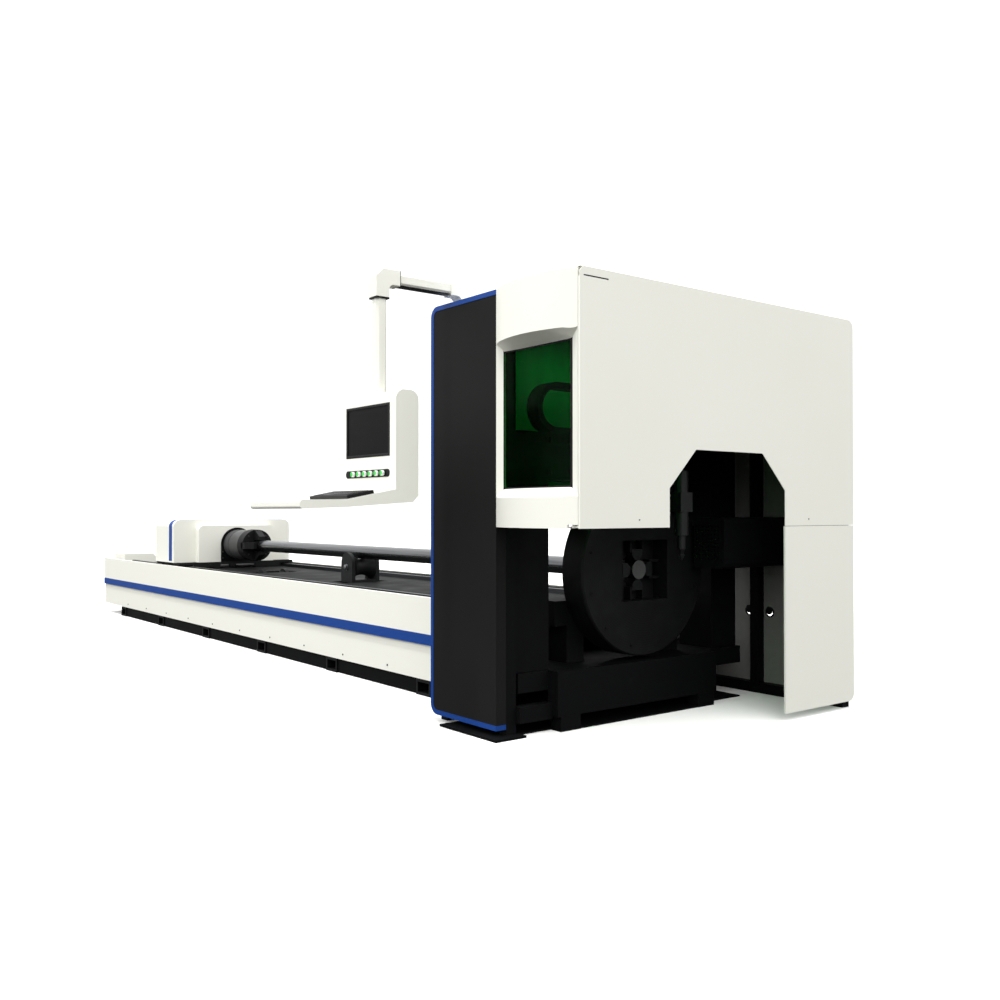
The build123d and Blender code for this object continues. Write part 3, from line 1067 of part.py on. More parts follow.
# Cross slide on the gantry rails with an arm that carries the lifting plate
slide_x0 = gantry_x1 + CROSS_RAIL_H
face_x1 = END_X - SLIDE_ARM_SETBACK + SLIDE_FACE_T
with BuildPart() as cross_slide:
    block(slide_x0, slide_x0 + SLIDE_T, -SLIDE_HALF_W, SLIDE_HALF_W, SLIDE_BASE_Z, SLIDE_TOP_Z)
    block(slide_x0 + SLIDE_T, END_X - SLIDE_ARM_SETBACK, -SLIDE_ARM_HALF_W, SLIDE_ARM_HALF_W,
          SLIDE_ARM_BASE_Z, SLIDE_ARM_TOP_Z)
    block(face_x1 - SLIDE_FACE_T, face_x1, -SLIDE_FACE_HALF_W, SLIDE_FACE_HALF_W,
          SLIDE_FACE_BASE_Z, SLIDE_FACE_TOP_Z)
    with BuildSketch(Plane.XZ.offset(-GUSSET_T / 2)):
        with BuildLine():
            Polyline((slide_x0 + SLIDE_T, SLIDE_ARM_TOP_Z), (slide_x0 + SLIDE_T, SLIDE_TOP_Z),
                     (END_X - SLIDE_ARM_SETBACK, SLIDE_ARM_TOP_Z), close=True)
        make_face()
    extrude(amount=GUSSET_T)
save(cross_slide.part, "cross_slide")

# Cutting head: lifting plate, optics column and nozzle
head_x = END_X - HEAD_SETBACK
tip_z = TUBE_AXIS_Z + TUBE_R + NOZZLE_GAP
with BuildPart() as cutting_head:
    block(face_x1, face_x1 + HEAD_PLATE_T, -HEAD_PLATE_HALF_W,
          HEAD_PLATE_HALF_W, HEAD_PLATE_BASE_Z, HEAD_PLATE_TOP_Z)
    block(face_x1, head_x + HEAD_R, -HEAD_BLOCK_HALF_W, HEAD_BLOCK_HALF_W,
          HEAD_BLOCK_BASE_Z, HEAD_BLOCK_TOP_Z)
    bar_z(head_x, 0, HEAD_BASE_Z, HEAD_TOP_Z, HEAD_R)
    bar_z(head_x, 0, HEAD_TOP_Z, HEAD_TOP_Z + FIBRE_LENGTH, FIBRE_R)
    bar_z(head_x, 0, HEAD_NECK_Z, HEAD_BASE_Z, HEAD_NECK_R)
    with BuildSketch(Plane.XZ):
        with BuildLine():
            Polyline((head_x, HEAD_NECK_Z), (head_x + NOZZLE_TOP_R, HEAD_NECK_Z),
                     (head_x + NOZZLE_TIP_R, tip_z), (head_x, tip_z), close=True)
        make_face()
    revolve(axis=Axis((head_x, 0, 0), (0, 0, 1)))
save(cutting_head.part, "cutting_head")

# Pendant post: flange on the roof and the spigot that the arm turns on
spigot_z1 = HOOD_TOP_Z + POST_FLANGE_T + POST_SPIGOT_LENGTH
with BuildPart() as pendant_post:
    bar_z(PENDANT_X, POST_Y, HOOD_TOP_Z, HOOD_TOP_Z + POST_FLANGE_T, POST_FLANGE_R)
    bar_z(PENDANT_X, POST_Y, HOOD_TOP_Z + POST_FLANGE_T, spigot_z1, POST_SPIGOT_R)
save(pendant_post.part, "pendant_post")


# Cast elbows at both ends of the arm
def elbow(y, fall_z, reach):
    leg_y = y + reach * ELBOW_LEG
    outer_y = y - reach * ELBOW_HALF
    inner_y = y + reach * ELBOW_HALF
    top_z = ARM_AXIS_Z + ELBOW_HALF
    low_z = ARM_AXIS_Z - ELBOW_HALF
    with BuildSketch(Plane.YZ.offset(PENDANT_X - ELBOW_HALF)) as profile:
        with BuildLine():
            Polyline((outer_y, fall_z), (outer_y, top_z - ELBOW_ROUND),
                     (outer_y + reach * ELBOW_ROUND, top_z), (leg_y, top_z), (leg_y, low_z),
                     (inner_y, low_z), (inner_y, fall_z), close=True)
        make_face()
        fillet(vertices().sort_by_distance((inner_y, low_z, 0))[0], ELBOW_INNER_R)
    extrude(profile.sketch, amount=2 * ELBOW_HALF)


swivel_top_z = ELBOW_FALL_Z + POST_SPIGOT_LENGTH
with BuildPart() as arm_elbows:
    elbow(DROP_Y, ELBOW_FALL_Z, 1)
    elbow(POST_Y, HOOD_TOP_Z + POST_FLANGE_T, -1)
    fillet(arm_elbows.edges().filter_by(Axis.Z).group_by(Axis.Z)[0], ELBOW_EDGE)
    bar_z(PENDANT_X, DROP_Y, ELBOW_FALL_Z, swivel_top_z + SHEET, POST_SPIGOT_R + SHAFT_GAP,
          Mode.SUBTRACT)
    bar_z(PENDANT_X, POST_Y, HOOD_TOP_Z + POST_FLANGE_T, spigot_z1 + SHEET,
          POST_SPIGOT_R + SHAFT_GAP, Mode.SUBTRACT)
save(arm_elbows.part, "arm_elbows")

# Arm tube between the elbows
with BuildPart() as swing_arm:
    arm_y0 = DROP_Y + ELBOW_LEG
    arm_y1 = POST_Y - ELBOW_LEG
    block(PENDANT_X - ARM_HALF, PENDANT_X + ARM_HALF, arm_y0, arm_y1, ARM_AXIS_Z - ARM_HALF,
          ARM_AXIS_Z + ARM_HALF)
    chamfer(swing_arm.edges().filter_by(Axis.Y), ARM_CHAMFER)
save(swing_arm.part, "swing_arm")

# Black collar under the outer elbow
collar_z0 = ELBOW_FALL_Z - COLLAR_T - FIT_GAP
with BuildPart() as swivel_collar:
    block(PENDANT_X - COLLAR_HALF, PENDANT_X + COLLAR_HALF, DROP_Y - COLLAR_HALF,
          DROP_Y + COLLAR_HALF, collar_z0, collar_z0 + COLLAR_T)
    bar_z(PENDANT_X, DROP_Y, collar_z0 + COLLAR_T, swivel_top_z, POST_SPIGOT_R)
save(swivel_collar.part, "swivel_collar")

# Drop tube down to the case
with BuildPart() as drop_tube:
    block(PENDANT_X - DROP_HALF, PENDANT_X + DROP_HALF, DROP_Y - DROP_HALF, DROP_Y + DROP_HALF,
          CASE_TOP_Z, collar_z0)
    chamfer(drop_tube.edges().filter_by(Axis.Z), ARM_CHAMFER)
    bar_z(PENDANT_X, DROP_Y, CASE_TOP_Z, CASE_TOP_Z + DROP_FOOT_H, DROP_FOOT_HALF)
save(drop_tube.part, "drop_tube")

# Pendant case with its keyboard shelf, one bent profile
button_xs = [PENDANT_X + BUTTON_SHIFT + BUTTON_PITCH * (i - (BUTTON_COUNT - 1) / 2)
             for i in range(BUTTON_COUNT)]
with BuildPart() as pendant_case:
    with BuildSketch(Plane.YZ.offset(PENDANT_X - CASE_W / 2)):
        with BuildLine():
            Polyline((CASE_BACK_Y, CASE_TOP_Z), (CASE_FRONT_Y, CASE_TOP_Z),
                     (CASE_FRONT_Y, SHELF_ROOT_Z), (SHELF_BEND_Y, SHELF_BEND_Z),
                     (SHELF_TIP_Y, SHELF_TIP_Z), (SHELF_TIP_Y, SHELF_TIP_BASE_Z),
                     (SHELF_BEND_Y, SHELF_BEND_BASE_Z),
                     (CASE_BACK_Y - CASE_HEEL_BEVEL, CASE_HEEL_Z),
                     (CASE_BACK_Y, CASE_HEEL_Z + CASE_HEEL_BEVEL), close=True)
        make_face()
        fillet(vertices().group_by(Axis.X)[0], SHELF_TIP_R)
        fillet(vertices().group_by(Axis.Y)[-1], CASE_EDGE_R)
    extrude(amount=CASE_W)
    block(PENDANT_X - SCREEN_W / 2 - SCREEN_GAP, PENDANT_X + SCREEN_W / 2 + SCREEN_GAP,
          CASE_FRONT_Y, CASE_FRONT_Y + SCREEN_POCKET, SCREEN_Z - SCREEN_H / 2 - SCREEN_GAP,
          SCREEN_Z + SCREEN_H / 2 + SCREEN_GAP, Mode.SUBTRACT)
    for x in button_xs:
        bar_y(x, CASE_FRONT_Y, CASE_FRONT_Y + BUTTON_STEM_LENGTH, STRIP_Z,
              BUTTON_STEM_R + FIT_GAP, Mode.SUBTRACT)
save(pendant_case.part, "pendant_case")

# Screen in the pocket of the case
with BuildPart() as pendant_screen:
    block(PENDANT_X - SCREEN_W / 2, PENDANT_X + SCREEN_W / 2, CASE_FRONT_Y + SCREEN_POCKET - SCREEN_T,
          CASE_FRONT_Y + SCREEN_POCKET, SCREEN_Z - SCREEN_H / 2, SCREEN_Z + SCREEN_H / 2)
save(pendant_screen.part, "pendant_screen")

# Black strip that carries the buttons
with BuildPart() as button_plate:
    with BuildSketch(Plane.XZ.offset(-CASE_FRONT_Y)):
        with Locations((PENDANT_X, STRIP_Z)):
            SlotOverall(STRIP_W, STRIP_H)
    extrude(amount=STRIP_T)
    for x in button_xs:
        bar_y(x, CASE_FRONT_Y - STRIP_T, CASE_FRONT_Y, STRIP_Z, BUTTON_STEM_R + FIT_GAP,
              Mode.SUBTRACT)
save(button_plate.part, "button_plate")

# Push buttons, each on its own stem
head_y1 = CASE_FRONT_Y - STRIP_T - BUTTON_STANDOFF
for index, x in enumerate(button_xs):
    with BuildPart() as button:
        bar_y(x, head_y1 - BUTTON_HEAD, head_y1, STRIP_Z, BUTTON_R)
        fillet(button.edges().filter_by(GeomType.CIRCLE).group_by(Axis.Y)[0], BUTTON_EDGE)
        bar_y(x, head_y1, CASE_FRONT_Y + BUTTON_STEM_LENGTH - BUTTON_STANDOFF, STRIP_Z,
              BUTTON_STEM_R)
    save(button.part, "button_" + str(index + 1))

# Keyboard lying on the slope of the shelf
slope_y = CASE_FRONT_Y - SHELF_BEND_Y
slope_z = SHELF_ROOT_Z - SHELF_BEND_Z
tilt = math.degrees(math.atan2(slope_z, slope_y))
with BuildPart() as keyboard:
    key_run = KEYBOARD_BEND_GAP + KEYBOARD_D / 2
    key_x = PENDANT_X + KEYBOARD_SHIFT
    key_y = SHELF_BEND_Y + key_run * math.cos(math.radians(tilt))
    key_z = SHELF_BEND_Z + key_run * math.sin(math.radians(tilt))
    with Locations(Location((key_x, key_y, key_z), (tilt, 0, 0))):
        Box(KEYBOARD_W, KEYBOARD_D, KEYBOARD_T, align=(Align.CENTER, Align.CENTER, Align.MIN))
        with Locations((0, 0, KEYBOARD_T - KEY_WELL_DEPTH)):
            Box(KEYBOARD_W - 2 * KEY_WELL_RIM, KEYBOARD_D - 2 * KEY_WELL_RIM, KEYBOARD_T,
                align=(Align.CENTER, Align.CENTER, Align.MIN), mode=Mode.SUBTRACT)
save(keyboard.part, "keyboard")
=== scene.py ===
import math

import bmesh
import bpy
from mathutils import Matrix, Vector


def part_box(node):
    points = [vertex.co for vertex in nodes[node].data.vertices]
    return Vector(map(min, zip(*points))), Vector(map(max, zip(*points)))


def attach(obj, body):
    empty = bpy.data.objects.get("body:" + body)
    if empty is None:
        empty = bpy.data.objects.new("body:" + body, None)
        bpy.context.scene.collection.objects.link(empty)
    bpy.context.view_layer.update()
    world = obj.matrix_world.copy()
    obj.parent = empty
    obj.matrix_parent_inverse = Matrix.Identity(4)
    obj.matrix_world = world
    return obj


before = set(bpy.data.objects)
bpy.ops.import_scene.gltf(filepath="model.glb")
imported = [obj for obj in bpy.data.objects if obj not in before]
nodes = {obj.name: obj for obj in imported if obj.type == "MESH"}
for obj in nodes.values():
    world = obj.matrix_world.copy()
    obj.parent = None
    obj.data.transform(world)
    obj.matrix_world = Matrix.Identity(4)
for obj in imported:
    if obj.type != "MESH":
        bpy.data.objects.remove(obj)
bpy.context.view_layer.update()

# Places in metres, in the machine's own frame: +X to the exit end, the operator at -Y, Z up
END_X = 4.572
AXIS_Z = 0.770
PENDANT_X = 3.575
CASE_FRONT_Y = -1.441
STRIP_Z = 1.262
BUTTON_COUNT = 6
BUTTON_PITCH = 0.055
BUTTON_SHIFT = 0.020
FIRST_BUTTON_X = PENDANT_X + BUTTON_SHIFT - (BUTTON_COUNT - 1) / 2 * BUTTON_PITCH
LENS_FACE_R = 0.0114
LENS_RIM_R = 0.0122
DRUM_FACE_X = END_X - 0.559
HEAD_X = END_X - 0.303
HEAD_PLATE_X = END_X - 0.340
FOOT_COUNT = 6
FOOT_PITCH = 1.130
FOOT_XS = [FOOT_PITCH * (i - (FOOT_COUNT - 1) / 2) for i in range(FOOT_COUNT)]
# each support's body, its X and how far it is lowered at rest
SUPPORTS = {"lift_a": (END_X - 5.150, 0.200), "lift_b": (END_X - 3.590, 0.0)}


# Finishes

def linear(code):
    """Turns an sRGB hex colour into the linear colour that a shader socket takes."""
    parts = [int(code[k:k + 2], 16) / 255 for k in (1, 3, 5)]
    return [c / 12.92 if c <= 0.04045 else ((c + 0.055) / 1.055) ** 2.4 for c in parts] + [1.0]


def per(size_mm):
    """Scale of a pattern whose features are this many millimetres across, on Object coordinates."""
    return 1000.0 / size_mm


def add(tree, kind, feeds=None, **settings):
    """Adds one node with its settings, and feeds its sockets from values or other sockets."""
    made = tree.nodes.new("ShaderNode" + kind)
    for key, value in settings.items():
        setattr(made, key, value)
    for key, value in (feeds or {}).items():
        if isinstance(value, bpy.types.NodeSocket):
            tree.links.new(value, made.inputs[key])
        else:
            made.inputs[key].default_value = value
    return made


def start(name):
    """A new empty material: its tree and the Object coordinates that its patterns are laid on."""
    material = bpy.data.materials.new(name)
    material.use_nodes = True
    tree = material.node_tree
    tree.nodes.clear()
    return material, tree, add(tree, "TexCoord").outputs["Object"]


def close(tree, shader):
    add(tree, "OutputMaterial", {"Surface": shader.outputs[0]})


def powder_coat(name, colour, shade, gloss, clouding, peel_mm, shine):
    """Baked powder paint on sheet steel: an even colour, faint clouding and an orange-peel skin."""
    material, tree, place = start(name)
    cloud = add(tree, "TexNoise", {"Vector": place, "Scale": per(clouding), "Detail": 4.0})
    tint = add(tree, "Mix", {0: cloud.outputs[0], 6: linear(colour), 7: linear(shade)},
               data_type="RGBA")
    rough = add(tree, "MapRange", {"Value": cloud.outputs[0], "From Min": 0.3, "From Max": 0.7,
                                   "To Min": gloss - 0.05, "To Max": gloss + 0.06})
    # the real peel is about 1 mm across and is drawn coarser so that it still shows
    peel = add(tree, "TexNoise", {"Vector": place, "Scale": per(peel_mm), "Detail": 2.0})
    skin = add(tree, "Bump", {"Height": peel.outputs[0], "Strength": 0.12, "Distance": 0.0004})
    close(tree, add(tree, "BsdfPrincipled", {
        "Base Color": tint.outputs[2], "Roughness": rough.outputs[0], "Normal": skin.outputs[0],
        "Specular IOR Level": shine}))
    return material


def inner_shaded_sheet(name, outside, inner_shade, gloss, clouding):
    """White-coated sheet, with painted shade on the inner side that faces the operator: that side
    is dull grey for the shadow it lies in.
    """
    material, tree, place = start(name)
    facing = add(tree, "SeparateXYZ", {"Vector": add(tree, "TexCoord").outputs["Normal"]})
    inner = add(tree, "Math", {0: facing.outputs["Y"], 1: -0.5}, operation="LESS_THAN")
    cloud = add(tree, "TexNoise", {"Vector": place, "Scale": per(clouding), "Detail": 4.0})
    # the inner side gets dull grey as painted shade for the shadow inside the enclosure
    coat = add(tree, "Mix", {0: inner.outputs[0], 6: linear(outside), 7: linear(inner_shade)},
               data_type="RGBA")
    patchy = add(tree, "MapRange", {"Value": cloud.outputs[0], "To Min": 0.92, "To Max": 1.06})
    tint = add(tree, "VectorMath", {0: coat.outputs[2], "Scale": patchy.outputs[0]},
               operation="SCALE")
    rough = add(tree, "MapRange", {"Value": cloud.outputs[0], "To Min": gloss - 0.06,
                                   "To Max": gloss + 0.08})
    close(tree, add(tree, "BsdfPrincipled", {
        "Base Color": tint.outputs[0], "Roughness": rough.outputs[0], "Specular IOR Level": 0.3}))
    return material


def machine_paint(name, colour, bare, gloss, scuff_mm, shine=0.2):
    """Thick two-part paint on castings and welded tube: a pebbled skin, with paler scuffs."""
    material, tree, place = start(name)
    cloud = add(tree, "TexNoise", {"Vector": place, "Scale": per(280), "Detail": 5.0})
    scuff = add(tree, "TexNoise", {"Vector": place, "Scale": per(scuff_mm), "Detail": 6.0,
                                   "Roughness": 0.7})
    rubbed = add(tree, "MapRange", {"Value": scuff.outputs[0], "From Min": 0.60, "From Max": 0.74,
                                    "To Min": 0.0, "To Max": 0.35})
    tint = add(tree, "Mix", {0: rubbed.outputs[0], 6: linear(colour), 7: linear(bare)},
               data_type="RGBA")
    rough = add(tree, "MapRange", {"Value": cloud.outputs[0], "From Min": 0.3, "From Max": 0.7,
                                   "To Min": gloss - 0.08, "To Max": gloss + 0.10})
    pebble = add(tree, "TexNoise", {"Vector": place, "Scale": per(7), "Detail": 3.0})
    skin = add(tree, "Bump", {"Height": pebble.outputs[0], "Strength": 0.25, "Distance": 0.0008})
    close(tree, add(tree, "BsdfPrincipled", {
        "Base Color": tint.outputs[2], "Roughness": rough.outputs[0], "Normal": skin.outputs[0],
        "Specular IOR Level": shine}))
    return material


def ground_metal(name, colour, dark, gloss, lines_mm, metallic):
    """Bare steel drawn or ground along X: long fine lines, brighter and duller in streaks."""
    material, tree, place = start(name)
    # the lines run for about half a metre and are a few millimetres apart
    drawn = add(tree, "Mapping", {"Vector": place,
                                  "Scale": (per(500), per(lines_mm), per(lines_mm))})
    line = add(tree, "TexNoise", {"Vector": drawn.outputs[0], "Scale": 1.0, "Detail": 4.0})
    tint = add(tree, "Mix", {0: line.outputs[0], 6: linear(colour), 7: linear(dark)},
               data_type="RGBA")
    rough = add(tree, "MapRange", {"Value": line.outputs[0], "From Min": 0.3, "From Max": 0.7,
                                   "To Min": gloss - 0.05, "To Max": gloss + 0.10})
    skin = add(tree, "Bump", {"Height": line.outputs[0], "Strength": 0.10, "Distance": 0.0003})
    close(tree, add(tree, "BsdfPrincipled", {
        "Base Color": tint.outputs[2], "Roughness": rough.outputs[0], "Normal": skin.outputs[0],
        "Metallic": metallic}))
    return material


def turned_steel(name, colour, worn, gloss):
    """Blackened steel turned about the tube axis: faint rings and rubbed, paler patches."""
    material, tree, place = start(name)
    middle = add(tree, "Mapping", {"Vector": place, "Location": (0.0, 0.0, -AXIS_Z)})
    ring = add(tree, "TexWave", {"Vector": middle.outputs[0], "Scale": per(40), "Distortion": 0.4,
                                 "Detail": 2.0}, wave_type="RINGS", rings_direction="X")
    patch = add(tree, "TexNoise", {"Vector": place, "Scale": per(120), "Detail": 5.0})
    rubbed = add(tree, "MapRange", {"Value": patch.outputs[0], "From Min": 0.50, "From Max": 0.75,
                                    "To Min": 0.0, "To Max": 0.7})
    tint = add(tree, "Mix", {0: rubbed.outputs[0], 6: linear(colour), 7: linear(worn)},
               data_type="RGBA")
    rough = add(tree, "MapRange", {"Value": ring.outputs[0], "To Min": gloss,
                                   "To Max": gloss + 0.12})
    skin = add(tree, "Bump", {"Height": ring.outputs[0], "Strength": 0.08, "Distance": 0.0004})
    close(tree, add(tree, "BsdfPrincipled", {
        "Base Color": tint.outputs[2], "Roughness": rough.outputs[0], "Normal": skin.outputs[0],
        "Metallic": 0.25, "Specular IOR Level": 0.25}))
    return material


def moulded_plastic(name, colour, shade, gloss, grain_mm):
    """Injection-moulded plastic: an even colour with a fine spark-eroded grain."""
    material, tree, place = start(name)
    grain = add(tree, "TexVoronoi", {"Vector": place, "Scale": per(grain_mm)})
    cloud = add(tree, "TexNoise", {"Vector": place, "Scale": per(90), "Detail": 3.0})
    tint = add(tree, "Mix", {0: cloud.outputs[0], 6: linear(colour), 7: linear(shade)},
               data_type="RGBA")
    rough = add(tree, "MapRange", {"Value": cloud.outputs[0], "To Min": gloss - 0.06,
                                   "To Max": gloss + 0.08})
    skin = add(tree, "Bump", {"Height": grain.outputs[0], "Strength": 0.15, "Distance": 0.0003})
    close(tree, add(tree, "BsdfPrincipled", {
        "Base Color": tint.outputs[2], "Roughness": rough.outputs[0], "Normal": skin.outputs[0],
        "Specular IOR Level": 0.2}))
    return material


def laser_acrylic():
    """Green laser-safe acrylic, cast and polished: see-through and deep green, with a wipe haze."""
    material, tree, place = start("laser_safe_acrylic")
    haze = add(tree, "TexNoise", {"Vector": place, "Scale": per(70), "Detail": 5.0})
    tint = add(tree, "Mix", {0: haze.outputs[0], 6: linear("#08E850"), 7: linear("#06CC44")},
               data_type="RGBA")
    rough = add(tree, "MapRange", {"Value": haze.outputs[0], "From Min": 0.4, "From Max": 0.8,
                                   "To Min": 0.0, "To Max": 0.05})
    close(tree, add(tree, "BsdfPrincipled", {
        "Base Color": tint.outputs[2], "Roughness": rough.outputs[0], "IOR": 1.08,
        "Transmission Weight": 1.0}))
    return material


def display_glass():
    """Etched display glass over a dark panel: near black, with faint wipe marks in its gloss."""
    material, tree, place = start("display_glass")
    wipe = add(tree, "Mapping", {"Vector": place, "Scale": (per(160), per(160), per(25))})
    mark = add(tree, "TexNoise", {"Vector": wipe.outputs[0], "Scale": 1.0, "Detail": 4.0})
    tint = add(tree, "Mix", {0: mark.outputs[0], 6: linear("#090909"), 7: linear("#101010")},
               data_type="RGBA")
    rough = add(tree, "MapRange", {"Value": mark.outputs[0], "From Min": 0.3, "From Max": 0.7,
                                   "To Min": 0.32, "To Max": 0.42})
    close(tree, add(tree, "BsdfPrincipled", {
        "Base Color": tint.outputs[2], "Roughness": rough.outputs[0],
        "Specular IOR Level": 0.05}))
    return material


def button_lens():
    """Clear moulded button caps: a bright green middle in a chrome rim whose near-white is a
    painted highlight, the same on all six.
    """
    material, tree, place = start("moulded_button_lens")
    spot = add(tree, "SeparateXYZ", {"Vector": place})
    # each cap's own middle, one pitch apart along the strip
    across = add(tree, "Math", {0: spot.outputs["X"], 1: FIRST_BUTTON_X - BUTTON_PITCH / 2,
                                2: FIRST_BUTTON_X + BUTTON_PITCH / 2}, operation="WRAP")
    aside = add(tree, "Math", {0: across.outputs[0], 1: FIRST_BUTTON_X}, operation="SUBTRACT")
    above = add(tree, "Math", {0: spot.outputs["Z"], 1: STRIP_Z}, operation="SUBTRACT")
    flat = add(tree, "CombineXYZ", {"X": aside.outputs[0], "Y": above.outputs[0]})
    away = add(tree, "VectorMath", {0: flat.outputs[0]}, operation="LENGTH")
    rim = add(tree, "MapRange", {"Value": away.outputs["Value"], "From Min": LENS_FACE_R,
                                 "From Max": LENS_RIM_R})
    facet = add(tree, "TexNoise", {"Vector": place, "Scale": per(6), "Detail": 2.0})
    green = add(tree, "Mix", {0: facet.outputs[0], 6: linear("#4FD25A"), 7: linear("#2FA03C")},
                data_type="RGBA")
    # the rim's near-white is a painted highlight standing in for its chrome's reflection
    tint = add(tree, "Mix", {0: rim.outputs[0], 6: green.outputs[2], 7: linear("#E6E8E6")},
               data_type="RGBA")
    close(tree, add(tree, "BsdfPrincipled", {
        "Base Color": tint.outputs[2], "Roughness": 0.25,
        "Specular IOR Level": 0.3}))
    return material


white = powder_coat("white_powder_coat", "#EEEEE5", "#EAEAE0", 0.45, 700, 4, 0.3)
# the rear panel's inner face takes #8A8A86 as painted shade
inner_shaded_white = inner_shaded_sheet("white_sheet_painted_inner_shade", "#EEEEE5", "#8A8A86", 0.45, 500)
black = powder_coat("black_powder_coat", "#1A1A1A", "#202020", 0.60, 500, 3, 0.06)
blue = powder_coat("blue_enamel", "#1C448F", "#1A3F86", 0.45, 400, 4, 0.12)
charcoal = machine_paint("charcoal_machine_paint", "#0C0D0E", "#1A1B1C", 0.58, 90, 0.08)
deck = machine_paint("worn_deck_paint", "#202121", "#3A3A39", 0.60, 140, 0.03)
grey = machine_paint("grey_machine_paint", "#3E3F3F", "#565655", 0.45, 120)
cast_grey = machine_paint("painted_grey_iron", "#1C1D1E", "#333435", 0.52, 60, 0.12)
rail_steel = ground_metal("ground_rail_steel", "#5C5E60", "#44464A", 0.34, 3, 1.0)
tube_steel = ground_metal("drawn_stainless_tube", "#7E8082", "#383A3C", 0.18, 9, 1.0)
jaw_steel = ground_metal("ground_jaw_steel", "#38393B", "#28292A", 0.36, 3, 0.8)
chuck_steel = turned_steel("blackened_turned_steel", "#0B0C0D", "#161718", 0.54)
roller_steel = turned_steel("blackened_roller_steel", "#131415", "#232426", 0.46)
anodised = ground_metal("anodised_aluminium", "#191A1C", "#121314", 0.40, 2, 0.5)
screw_steel = ground_metal("zinc_plated_screws", "#9A9C9E", "#6E7072", 0.30, 2, 1.0)
dark_screw = ground_metal("blackened_screws", "#3A3B3D", "#222325", 0.38, 2, 0.8)
plastic = moulded_plastic("black_abs_plastic", "#0D0D0E", "#131314", 0.52, 1.2)
keycap = moulded_plastic("keycap_plastic", "#151517", "#1D1D1F", 0.45, 0.8)
cap_grey = moulded_plastic("grey_polyethylene_cap", "#565756", "#4C4D4C", 0.50, 1.5)
rubber = moulded_plastic("black_rubber_seal", "#0E0E0F", "#161617", 0.65, 2)
acrylic = laser_acrylic()
screen = display_glass()
lens = button_lens()

dress = [
    (white, "front_skirt rear_skirt far_end_panel end_cover end_panel end_leg_panel top_cover "
            "entry_wall pendant_post door_shell arm_elbows swing_arm drop_tube "
            "pendant_case carriage_cover door_pivots"),
    (inner_shaded_white, "rear_panel"),
    (black, "side_panel"),
    (blue, "skirt_stripes side_trim"),
    (charcoal, "bed_frame head_base chuck_stand gantry enclosure_frame extraction_duct "
               "spindle_flange cross_slide"),
    (deck, "bed_deck carriage_base"),
    (grey, "spindle_housing"),
    (cast_grey, "support_a support_b"),
    (rail_steel, "carriage_rails"),
    (tube_steel, "workpiece_tube"),
    (chuck_steel, "front_chuck rear_chuck rear_jaw_1 rear_jaw_2 rear_jaw_3 rear_jaw_4"),
    (jaw_steel, "front_jaw_1 front_jaw_2 front_jaw_3 front_jaw_4"),
    (roller_steel, "roller_a roller_b"),
    (anodised, "cutting_head"),
    (plastic, "cable_loop swivel_collar button_plate keyboard"),
    (acrylic, "window_pane"),
    (screen, "pendant_screen"),
    (lens, "button_1 button_2 button_3 button_4 button_5 button_6"),
]
for finish, names in dress:
    for name in names.split():
        nodes[name].data.materials.clear()
        nodes[name].data.materials.append(finish)


# Modelling steps

SMOOTH_ANGLE = math.radians(35)
NEAR = 1e-4
EDGE_STEPS = 2
TO_OPERATOR = (math.pi / 2, 0, 0)
TO_REAR = (-math.pi / 2, 0, 0)
TO_EXIT = (0, math.pi / 2, 0)


def deselect():
    bpy.ops.object.select_all(action="DESELECT")


def edit():
    bpy.ops.object.mode_set(mode="EDIT")


def leave():
    bpy.ops.object.mode_set(mode="OBJECT")


def apply_place():
    bpy.ops.object.transform_apply(location=True, rotation=True, scale=True)


def pick(kind, test):
    """In edit mode, selects only the faces or edges that pass the test."""
    bpy.ops.mesh.select_mode(type="FACE" if kind == "faces" else "EDGE")
    bpy.ops.mesh.select_all(action="DESELECT")
    mesh = bmesh.from_edit_mesh(bpy.context.edit_object.data)
    for part in getattr(mesh, kind):
        if test(part):
            part.select_set(True)
    mesh.select_flush_mode()
    bmesh.update_edit_mesh(bpy.context.edit_object.data)


def faces_up(face):
    return face.normal.z > 0.9


def faces_down(face):
    return face.normal.z < -0.9


def middle(edge):
    return (edge.verts[0].co + edge.verts[1].co) / 2


def settle(name, body, finish):
    """Ends a piece: its place goes into its mesh, then it gets its name, finish and body."""
    piece = bpy.context.object
    apply_place()
    bpy.ops.object.shade_smooth_by_angle(angle=SMOOTH_ANGLE)
    piece.name = name
    piece.data.name = name
    piece.data.materials.clear()
    piece.data.materials.append(finish)
    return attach(piece, body)


def slab(xs, ys, zs, edge):
    """A plate or block that spans two places on each axis, with its edges rounded."""
    spans = (xs, ys, zs)
    deselect()
    bpy.ops.mesh.primitive_cube_add(size=1, location=[(a + b) / 2 for a, b in spans])
    bpy.context.object.scale = [b - a for a, b in spans]
    apply_place()
    edit()
    bpy.ops.mesh.select_all(action="SELECT")
    bpy.ops.mesh.bevel(offset=edge, segments=EDGE_STEPS, affect="EDGES")
    leave()
    return bpy.context.object


